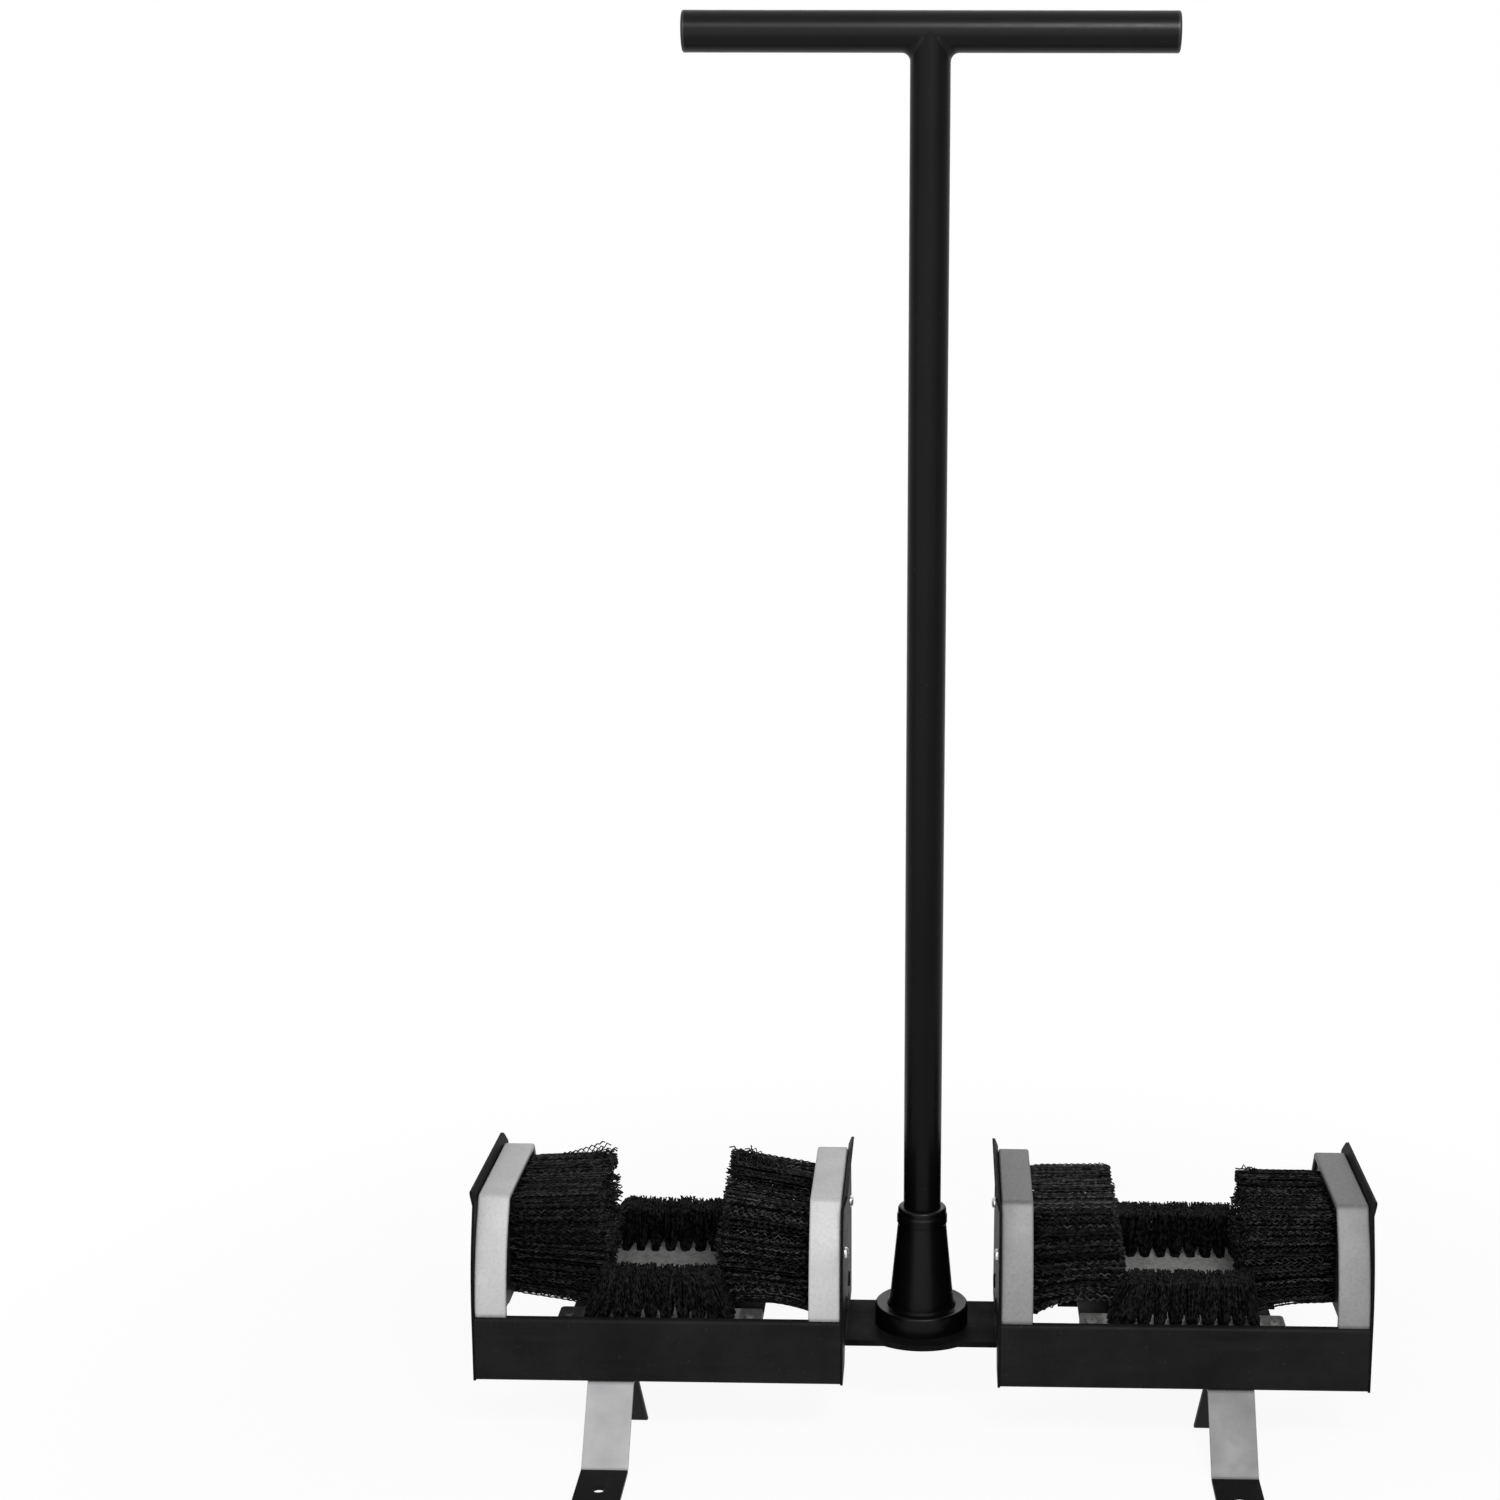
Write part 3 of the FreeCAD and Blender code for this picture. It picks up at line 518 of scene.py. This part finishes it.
def trayOutline(low, high):
    # One half of the arch, from the lower rear corner up to the top, and its mirror image
    t = fenderTray
    half = [(high.y, low.z), (high.y, low.z + t["bowUp"]), (high.y - t["topInset"], high.z)]
    return half + [(-y, z) for y, z in reversed(half)]


def faceOutwards(bm, middle):
    bmesh.ops.recalc_face_normals(bm, faces=bm.faces)
    outwards = sum((f.calc_center_median() - middle).dot(f.normal) * f.calc_area() for f in bm.faces)
    if outwards < 0:
        bmesh.ops.reverse_faces(bm, faces=bm.faces)


def pressedTray(nodeName):
    # A bowed arch with a closed back, an inward flange on the bristle side and pressed round edges
    t = fenderTray
    low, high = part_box(nodeName)
    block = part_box(nodeName.replace("fender", "brush_block"))
    plateOnRight = block[0].x + block[1].x > low.x + high.x
    backX, faceX = (high.x, low.x) if plateOnRight else (low.x, high.x)
    bm = bmesh.new()
    corners = [bm.verts.new((backX, y, z)) for y, z in trayOutline(low, high)]
    bm.faces.new(corners)
    bows, topCorners = (1, 4), (2, 3)
    for picked, reach, steps in ((bows, t["bowReach"], t["bowSteps"]),
                                 (topCorners, t["cornerReach"], t["cornerSteps"])):
        bmesh.ops.bevel(bm, geom=[corners[i] for i in picked], offset=reach, offset_type="OFFSET",
                        segments=steps, profile=0.5, affect="VERTICES", material=-1)
    grown = bmesh.ops.extrude_face_region(bm, geom=list(bm.faces), use_keep_orig=True)["geom"]
    moved = [v for v in grown if isinstance(v, bmesh.types.BMVert)]
    bmesh.ops.translate(bm, vec=(faceX - backX, 0, 0), verts=moved)
    front = next(f for f in grown if isinstance(f, bmesh.types.BMFace))
    others = [f for f in bm.faces if f is not front]
    back = next(f for f in others if all(abs(v.co.x - backX) < t["near"] for v in f.verts))
    edges = {*front.edges, *back.edges}
    rim = [edge for edge in edges if max(v.co.z for v in edge.verts) > low.z + t["near"]]
    bmesh.ops.inset_region(bm, faces=[front], thickness=t["flange"], use_boundary=True,
                           use_even_offset=True)
    # The flange runs down to the open bottom
    for v in front.verts:
        if v.co.z < low.z + t["flange"] * t["openShare"]:
            v.co.z = low.z
    bottoms = [f for f in bm.faces if all(v.co.z < low.z + t["near"] for v in f.verts)]
    bmesh.ops.delete(bm, geom=[front] + bottoms, context="FACES")
    bmesh.ops.bevel(bm, geom=[edge for edge in rim if edge.is_valid], offset=t["edge"],
                    offset_type="OFFSET", segments=t["edgeSteps"], profile=0.5, affect="EDGES",
                    material=-1)
    bmesh.ops.remove_doubles(bm, verts=bm.verts, dist=cleaning["mergeGap"])
    faceOutwards(bm, Vector(((low.x + high.x) / 2, 0, (low.z + high.z) / 2)))
    name = pieceName(nodeName, "Tray")
    finish = satinSteel[nodeName.split("_")[0]]
    obj = newObject(name, finishMesh(name, bm), finish, [nodeName])
    wall = obj.modifiers.new("sheetThickness", "SOLIDIFY")
    wall.thickness = t["sheet"]
    wall.offset = -1
    wall.use_even_offset = True


for unit in units:
    for place in ("outer", "inner"):
        pressedTray(f"{unit}_{place}_fender")
print("fender trays done")


# Bristles

# A filament of three sides: it thins to tipShare at the tip and is crimped in full from steadyShare on
strand = {"radius": 0.73 * mm, "sides": 3, "tipShare": 0.95, "steadyShare": 0.2, "phase": 0.5,
          "swing": (0.4, 1.3), "shadePower": 1.6, "mergeGap": 0.001 * mm}


def jitter(dice, reach):
    return dice.uniform(-reach, reach)


def between(ends, share):
    return ends[0] + (ends[1] - ends[0]) * share


def archAt(share):
    # 0 at both ends and 1 in the middle
    return 4 * share * (1 - share)


def strandPoints(dice, root, run, steps, wave, bow, spots=(Vector(), Vector()), fan=1, limits=None):
    # A crimped filament: it fans out from its spot in the hole to its spot at the tip, in a zigzag, and
    # stays between the lower and the upper edge of its field
    way = run.normalized()
    side = way.orthogonal().normalized()
    side.rotate(Matrix.Rotation(dice.uniform(0, 2 * math.pi), 3, way))
    sign = dice.choice((-1, 1))
    phase = jitter(dice, strand["phase"])
    points = []
    for step in range(steps + 1):
        share = step / steps if step in (0, steps) else (step + phase) / steps
        spread = 1 - (1 - min(1, share / fan)) ** 2 if fan < 1 else share
        swell = min(1, share / strand["steadyShare"])
        shift = side * (sign * wave * swell * dice.uniform(*strand["swing"]))
        sign = -sign
        point = root + run * share + spots[0] * (1 - spread) + spots[1] * spread
        point += bow * archAt(share) + shift
        if limits:
            bottom = between(limits["bottom"], share) + limits["arch"] * archAt(share)
            point.z = max(bottom, min(point.z, between(limits["top"], share)))
        points.append(point)
    return points


def strandSection(name):
    # The outline of one filament, which the curve carries along
    curve = bpy.data.curves.new(name + "Section", "CURVE")
    outline = curve.splines.new("POLY")
    outline.points.add(strand["sides"] - 1)
    for i, point in enumerate(outline.points):
        turn = 2 * math.pi * i / strand["sides"]
        point.co = (strand["radius"] * math.cos(turn), strand["radius"] * math.sin(turn), 0, 1)
    outline.use_cyclic_u = True
    section = bpy.data.objects.new(name + "Section", curve)
    bpy.context.scene.collection.objects.link(section)
    return section


def strandMesh(name, strands):
    # One curve with a spline for each filament, turned into a mesh
    section = strandSection(name)
    curve = bpy.data.curves.new(name, "CURVE")
    curve.dimensions = "3D"
    curve.bevel_mode = "OBJECT"
    curve.bevel_object = section
    curve.use_fill_caps = True
    for points in strands:
        last = len(points) - 1
        spline = curve.splines.new("POLY")
        spline.points.add(last)
        spline.points.foreach_set("co", [v for p in points for v in (p.x, p.y, p.z, 1)])
        thinner = (1 - strand["tipShare"]) / last
        spline.points.foreach_set("radius", [1 - thinner * i for i in range(last + 1)])
    line = bpy.data.objects.new(name + "Line", curve)
    bpy.context.scene.collection.objects.link(line)
    mesh = bpy.data.meshes.new_from_object(line.evaluated_get(bpy.context.evaluated_depsgraph_get()))
    bpy.data.objects.remove(line)
    bpy.data.objects.remove(section)
    return mesh


def shadeStrands(mesh, count, steps, seed, tone):
    # Each filament has a shade of its own, and each point its share of the way to the tip
    dice = random.Random(seed)
    perStrand = len(mesh.vertices) // count
    shades = []
    along = []
    for _ in range(count):
        # The painted shade tone of the piece darkens every filament
        shades += [tone * dice.random() ** strand["shadePower"]] * perStrand
        along += [min(1, (k // strand["sides"]) / steps) for k in range(perStrand)]
    for label, values in (("strandShade", shades), ("strandAlong", along)):
        attribute = mesh.attributes.new(label, "FLOAT", "POINT")
        attribute.data.foreach_set("value", values)


def bristlePiece(name, node, strands, steps, seed, tone):
    mesh = strandMesh(name, strands)
    shadeStrands(mesh, len(strands), steps, seed, tone)
    bm = bmesh.new()
    bm.from_mesh(mesh)
    bmesh.ops.remove_doubles(bm, verts=bm.verts, dist=strand["mergeGap"])
    bmesh.ops.recalc_face_normals(bm, faces=bm.faces)
    bm.to_mesh(mesh)
    bm.free()
    mesh.name = name
    mesh.polygons.foreach_set("use_smooth", [True] * len(mesh.polygons))
    newObject(name, mesh, blackNylon, [node])
    print(name, len(strands), "filaments", len(mesh.vertices), "points")


# A border is given as its number of filaments and how far they spread from the edge
sideBrush = {"rows": 10, "columns": 10, "strands": 9, "steps": 28, "wave": 1.4 * mm, "seed": 100,
             "holeRadius": 3.0 * mm, "rootDepth": 2 * mm, "margin": 4 * mm, "stagger": 0.12,
             "fan": 0.25, "sinkFan": 0.1, "overlap": 0.75, "tuftLean": 1.5 * mm, "tuftCutShare": 0.9,
             "sway": 1 * mm, "lift": 0.7 * mm, "knee": 0.45, "splayHeight": 0.4, "splayWidth": 0.5,
             "splayTurn": 0.4, "trim": {"top": 4.5 * mm, "bottom": 1.6 * mm},
             "border": {"top": (110, 9 * mm), "bottom": (58, 5 * mm)}, "borderWidth": 16 * mm,
             "borderMargin": 0.6 * mm, "borderWave": 0.7 * mm,
             "ragged": {"right": 2.5 * mm, "left": 5.0 * mm}, "strays": {"right": 4, "left": 14},
             "strayRise": {"right": 4 * mm, "left": 9 * mm}, "strayRiseShares": (0.1, 1),
             "strayPlaceShares": (0.2, 0.95), "strayCut": 20 * mm, "strayDroop": 3 * mm}

# How each side brush has worn, in millimetres: its lower and upper edge at the root and at the tips, how
# far its lowest tufts arch up, how much shorter it is at the bottom, the knee and the top, and how far its
# lower front corner splays out. Its tone darkens the field as painted shade
worn = {
    "left_outer": {"root": (3, -12.5), "tip": (-8, -9), "arch": 1.5, "cut": (0.5, -6, 1.5),
                   "splay": 0, "tone": 0.6},
    "left_inner": {"root": (-13, -18), "tip": (-7, -6), "arch": 6.5, "cut": (-4, -7, 1),
                   "splay": 3, "tone": 0.95},
    "right_inner": {"root": (-15, -16.5), "tip": (-3, -15), "arch": 12, "cut": (1, -3, 5),
                    "splay": 12, "tone": 1},
    "right_outer": {"root": (2.5, -18), "tip": (-6, -17.5), "arch": 4, "cut": (5, 0, 6),
                    "splay": 0, "tone": 0.75},
}


def sideField(unit, place, node, seed):
    # The box of a side brush, from the block's face to the tips, with the edges that its wear has left
    low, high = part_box(node)
    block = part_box(f"{unit}_{place}_brush_block")
    rootsAtLow = abs(low.x - block[1].x) < sideBrush["rootDepth"]
    rootX, tipX = (low.x, high.x) if rootsAtLow else (high.x, low.x)
    state = worn[f"{unit}_{place}"]
    return {"unit": unit, "state": state, "dice": random.Random(seed), "strands": [],
            "rootX": rootX, "tipX": tipX, "inward": 1 if tipX > rootX else -1,
            "rear": high.y, "depth": high.y - low.y, "blockBottom": block[0].z,
            "rootEdge": [edge + shift * mm for edge, shift in zip((low.z, high.z), state["root"])],
            "tipEdge": [edge + shift * mm for edge, shift in zip((low.z, high.z), state["tip"])]}


def sideCut(cuts, up):
    # How much shorter the field is at a share of its height, from its bottom, knee and top
    bottomCut, kneeCut, topCut = (v * mm for v in cuts)
    knee = sideBrush["knee"]
    if up < knee:
        return between((bottomCut, kneeCut), up / knee)
    return between((kneeCut, topCut), (up - knee) / (1 - knee))


def addSideStrand(field, up, rootY, spots, cut, margin, wave):
    s = sideBrush
    state, dice, inward = field["state"], field["dice"], field["inward"]
    rootEdge, tipEdge = field["rootEdge"], field["tipEdge"]
    rootZ = between((rootEdge[0] + margin, rootEdge[1] - margin), up)
    tipZ = between((tipEdge[0] + margin, tipEdge[1] - margin), up)
    across = 0.5 + rootY / field["depth"]
    nearCorner = max(0, 1 - up / s["splayHeight"]) * max(0, 1 - across / s["splayWidth"])
    corner = state["splay"] * mm * nearCorner
    # The lowest tufts start on the block and sink to their place
    sink = max(0, field["blockBottom"] + s["holeRadius"] - rootZ)
    fan = s["sinkFan"] if sink else s["fan"]
    spots = (spots[0] + Vector((0, 0, sink)), spots[1])
    root = Vector((field["rootX"] - inward * s["rootDepth"], rootY, rootZ))
    length = abs(field["tipX"] - field["rootX"]) + s["rootDepth"] - cut - sideCut(state["cut"], up) + corner
    run = Vector((inward * length, -s["splayTurn"] * corner, tipZ - rootZ))
    rise = state["arch"] * mm * (1 - up) ** 3
    bow = Vector((0, dice.gauss(0, s["sway"]), rise + dice.gauss(0, s["lift"])))
    under = dice.triangular(0, s["trim"]["top"], 0)
    above = dice.triangular(0, s["trim"]["bottom"], 0)
    limits = {"bottom": (rootEdge[0] + above, tipEdge[0] + above), "arch": state["arch"] * mm,
              "top": (rootEdge[1] - under, tipEdge[1] - under)}
    field["strands"].append(strandPoints(dice, root, run, s["steps"], wave, bow, spots, fan, limits))


def addSideTufts(field):
    # Rows of tufts over the block's face that fan out into one field
    s = sideBrush
    dice = field["dice"]
    ragged = s["ragged"][field["unit"]]
    rowRise = (field["rootEdge"][1] - field["rootEdge"][0] - 2 * s["holeRadius"]) / (s["rows"] - 1)
    columnPitch = (field["depth"] - 2 * s["margin"] - 2 * s["holeRadius"]) / (s["columns"] - 1)
    for row in range(s["rows"]):
        up = row / (s["rows"] - 1)
        stagger = s["stagger"] if row % 2 else -s["stagger"]
        for column in range(s["columns"]):
            rootY = (column - (s["columns"] - 1) / 2 + stagger) * columnPitch
            lean = Vector((0, jitter(dice, s["tuftLean"]), jitter(dice, s["tuftLean"])))
            tuftCut = dice.uniform(0, ragged * s["tuftCutShare"])
            for _ in range(s["strands"]):
                turn = dice.uniform(0, 2 * math.pi)
                out = math.sqrt(dice.random()) * s["holeRadius"]
                holeSpot = Vector((0, math.cos(turn), math.sin(turn))) * out
                tipSpot = Vector((0, jitter(dice, s["overlap"] * columnPitch),
                                  jitter(dice, s["overlap"] * rowRise))) + lean
                cut = dice.triangular(0, ragged, 0) + tuftCut
                addSideStrand(field, up, rootY, (holeSpot, tipSpot), cut, s["holeRadius"], s["wave"])


def addSideBorders(field):
    # The upper rear and the lower front border, which are seen as edges of the field
    s = sideBrush
    dice = field["dice"]
    for up, side, border in ((1, 1, "top"), (0, -1, "bottom")):
        count, depth = s["border"][border]
        for _ in range(count):
            rootY = side * (field["rear"] - s["margin"] - dice.random() ** 2 * s["borderWidth"])
            spot = Vector((0, 0, -side * dice.random() * depth))
            cut = dice.triangular(0, s["ragged"][field["unit"]], 0)
            addSideStrand(field, up, rootY, (spot, spot), cut, s["borderMargin"], s["borderWave"])


def addStrays(field):
    # Single filaments that stand up from the upper rear border
    s = sideBrush
    dice = field["dice"]
    for _ in range(s["strays"][field["unit"]]):
        rootY = dice.uniform(*s["strayPlaceShares"]) * field["rear"]
        root = Vector((field["rootX"], rootY, field["rootEdge"][1] - s["holeRadius"]))
        rise = dice.uniform(*s["strayRiseShares"]) * s["strayRise"][field["unit"]]
        tipX = field["tipX"] - field["inward"] * dice.uniform(0, s["strayCut"])
        tip = Vector((tipX, rootY, field["tipEdge"][1] + rise))
        bow = Vector((0, 0, -s["strayDroop"]))
        field["strands"].append(strandPoints(dice, root, tip - root, s["steps"], s["wave"], bow))


def sideBristles(unit, place, seed):
    # Filaments from the block's face towards the middle of the box
    node = f"{unit}_{place}_bristles"
    field = sideField(unit, place, node, seed)
    addSideTufts(field)
    addSideBorders(field)
    addStrays(field)
    name = f"{unit}{place.title()}SideBristles"
    bristlePiece(name, node, field["strands"], sideBrush["steps"], seed, field["state"]["tone"])


bottomBrush = {"rows": 3, "columns": 10, "strands": 52, "steps": 12, "wave": 0.9 * mm, "seed": 200,
               "holeRadius": 2.6 * mm, "rootDepth": 2 * mm, "spread": 7.6 * mm, "rowPitch": 8 * mm,
               "rowSpreadShare": 1.2, "tuftLean": (1.2 * mm, 1 * mm), "tuftCutShare": 0.4,
               "tipStray": 1.1 * mm, "bow": 0.6 * mm, "bowStray": 0.6 * mm, "endGap": 1 * mm,
               "ragged": {"right": 2.2 * mm, "left": 4.6 * mm},
               "lean": {"left_outer": 24 * mm, "left_inner": 24 * mm,
                        "right_inner": 26 * mm, "right_outer": 13 * mm},
               # The rows are darkened strongly as painted shade
               "tone": {"front": 0.13, "rear": 0.14}}


def bottomTuft(dice, box, rootX, rootY, lean, ragged):
    # The filaments of one tuft, which open from their hole and stay within the ends of the brush
    s = bottomBrush
    low, high = box
    middleY = (low.y + high.y) / 2
    tuftLean = Vector((lean + jitter(dice, s["tuftLean"][0]), jitter(dice, s["tuftLean"][1]), 0))
    tuftCut = dice.uniform(0, ragged * s["tuftCutShare"])
    tipY = middleY + (rootY - middleY) * s["rowSpreadShare"]
    strands = []
    for _ in range(s["strands"]):
        turn = dice.uniform(0, 2 * math.pi)
        out = math.sqrt(dice.random())
        ring = Vector((math.cos(turn), math.sin(turn), 0)) * out
        root = Vector((rootX, rootY, low.z - s["rootDepth"])) + ring * s["holeRadius"]
        cut = dice.triangular(0, ragged, 0) + tuftCut
        tip = Vector((rootX, tipY, high.z - cut)) + ring * s["spread"]
        tip += tuftLean + Vector((dice.gauss(0, s["tipStray"]), dice.gauss(0, s["tipStray"]), 0))
        tip.x = max(low.x + s["endGap"], min(high.x - s["endGap"], tip.x))
        tip.y = max(low.y, min(high.y, tip.y))
        bow = ring * s["bow"] + Vector((dice.gauss(0, s["bowStray"]), dice.gauss(0, s["bowStray"]), 0))
        strands.append(strandPoints(dice, root, tip - root, s["steps"], s["wave"], bow))
    return strands


def bottomBristles(unit, place, seed):
    # Three lines of tufts in a square grid, so that the pale block shows between their feet; the tufts at
    # both ends lean away from the side brushes
    node = f"{unit}_{place}_bristles"
    low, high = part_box(node)
    s = bottomBrush
    dice = random.Random(seed)
    pitch = (high.x - low.x) / s["columns"]
    strands = []
    for row in range(s["rows"]):
        rootY = (low.y + high.y) / 2 + (row - (s["rows"] - 1) / 2) * s["rowPitch"]
        for column in range(s["columns"]):
            rootX = low.x + (column + 0.5) * pitch
            along = 2 * (column + 0.5) / s["columns"] - 1
            end = "inner" if (along < 0) == (unit == "right") else "outer"
            lean = -along ** 3 * s["lean"][f"{unit}_{end}"]
            strands += bottomTuft(dice, (low, high), rootX, rootY, lean, s["ragged"][unit])
    name = f"{unit}{place.title()}RowBristles"
    bristlePiece(name, node, strands, s["steps"], seed, s["tone"][place])


# Each piece has a seed of its own: its unit counts in tens
for unitNumber, unit in enumerate(units):
    for placeNumber, place in enumerate(("outer", "inner")):
        sideBristles(unit, place, sideBrush["seed"] + 10 * unitNumber + placeNumber)
    for placeNumber, place in enumerate(("front", "rear")):
        bottomBristles(unit, place, bottomBrush["seed"] + 10 * unitNumber + placeNumber)
print("bristles done")


# Floor, backdrop, lamps and camera

white = (1, 1, 1, 1)
floorPatch = {"squares": 4, "halfWidth": 6.0, "drop": 0.6 * mm}
worldLevels = {"onObject": 0.3, "seen": 1.0}

# Place, the point that it faces, width and height in metres, and power in watts
lamps = {
    "keyLamp": ((-0.9, -1.75, 0.55), (-0.05, 0, 0.15), (2.8, 1.8), 17),
    "fillLamp": ((0.9, -2.0, 0.75), (0, 0, 0.2), (1.6, 1.2), 4),
    "handleLamp": ((0.5, -1.9, 2.1), (0.05, 0, 1.0), (0.8, 0.6), 42),
    "handleSideLamp": ((-0.5, -1.9, 2.1), (-0.05, 0, 1.0), (0.8, 0.6), 10),
    "rearLamp": ((0.3, 2.2, 1.6), (0, 0, 0.3), (1.4, 1.0), 8),
}

# The photograph: 1500 pixels square; focal length and middle of the lens picture are in its pixels
camera = {"width": 1500, "focal": 2498.7, "middle": (883.8, 830.7), "place": (0.0125, -1.8440, 0.8660),
          "pitch": 12.318, "yaw": -1.353, "roll": 0.214, "sensor": 36.0, "clip": (0.05, 50)}


def seenRays(tree):
    rays = tree.nodes.new("ShaderNodeLightPath")
    seen = combine(tree, "MAXIMUM", rays.outputs["Is Camera Ray"], rays.outputs["Is Glossy Ray"])
    return combine(tree, "MAXIMUM", seen, rays.outputs["Is Transmission Ray"])


def floorFinish():
    # White to the camera, with a faint shadow of the object near it and none far away
    look = {"colour": (0.8, 0.8, 0.8), "roughness": 0.9, "specular": 0.05,
            "nearShare": 0.93, "farShare": 1.0, "from": 0.45, "to": 0.95}
    mat, tree, surface = startMaterial("paleFloor", look["colour"], look["roughness"], 0, look["specular"])
    distance = tree.nodes.new("ShaderNodeVectorMath")
    distance.operation = "LENGTH"
    tree.links.new(objectPlace(tree), distance.inputs[0])
    share = remap(tree, distance.outputs["Value"], look["from"], look["to"], look["nearShare"],
                  look["farShare"], True)
    glow = tree.nodes.new("ShaderNodeEmission")
    glow.inputs["Color"].default_value = white
    glow.inputs["Strength"].default_value = worldLevels["seen"]
    mix = tree.nodes.new("ShaderNodeMixShader")
    tree.links.new(combine(tree, "MULTIPLY", seenRays(tree), share), mix.inputs["Fac"])
    tree.links.new(surface.outputs["BSDF"], mix.inputs[1])
    tree.links.new(glow.outputs["Emission"], mix.inputs[2])
    tree.links.new(mix.outputs["Shader"], tree.nodes["Material Output"].inputs["Surface"])
    return mat


def makeFloor():
    squares = floorPatch["squares"]
    bm = bmesh.new()
    bmesh.ops.create_grid(bm, x_segments=squares, y_segments=squares, size=floorPatch["halfWidth"])
    bmesh.ops.translate(bm, verts=bm.verts, vec=(0, 0, -floorPatch["drop"]))
    floor = bpy.data.objects.new("floor", finishMesh("floor", bm))
    bpy.context.scene.collection.objects.link(floor)
    floor.data.materials.append(floorFinish())


def makeWorld():
    world = bpy.data.worlds.new("studio")
    bpy.context.scene.world = world
    world.use_nodes = True
    tree = world.node_tree
    background = tree.nodes["Background"]
    background.inputs["Color"].default_value = white
    strength = remap(tree, seenRays(tree), 0, 1, worldLevels["onObject"], worldLevels["seen"])
    tree.links.new(strength, background.inputs["Strength"])


def addLamp(name, place, target, size, power):
    lamp = bpy.data.lights.new(name, "AREA")
    lamp.shape = "RECTANGLE"
    lamp.size, lamp.size_y = size
    lamp.energy = power
    obj = bpy.data.objects.new(name, lamp)
    obj.location = place
    obj.rotation_euler = (Vector(target) - Vector(place)).to_track_quat("-Z", "Y").to_euler()
    bpy.context.scene.collection.objects.link(obj)


def makeCamera():
    lens = bpy.data.cameras.new("camera")
    lens.sensor_width = camera["sensor"]
    lens.lens = camera["focal"] * camera["sensor"] / camera["width"]
    lens.shift_x = (camera["width"] / 2 - camera["middle"][0]) / camera["width"]
    lens.shift_y = (camera["middle"][1] - camera["width"] / 2) / camera["width"]
    lens.clip_start, lens.clip_end = camera["clip"]
    obj = bpy.data.objects.new("camera", lens)
    turn = Matrix.Rotation(math.radians(-camera["yaw"]), 4, "Z") @ Matrix.Rotation(
        math.radians(90 - camera["pitch"]), 4, "X") @ Matrix.Rotation(math.radians(camera["roll"]), 4, "Z")
    obj.matrix_world = Matrix.Translation(camera["place"]) @ turn
    bpy.context.scene.collection.objects.link(obj)
    bpy.context.scene.camera = obj


makeFloor()
makeWorld()
for name, settings in lamps.items():
    addLamp(name, *settings)
makeCamera()
bpy.context.scene.view_settings.view_transform = "Standard"
print("stage done")
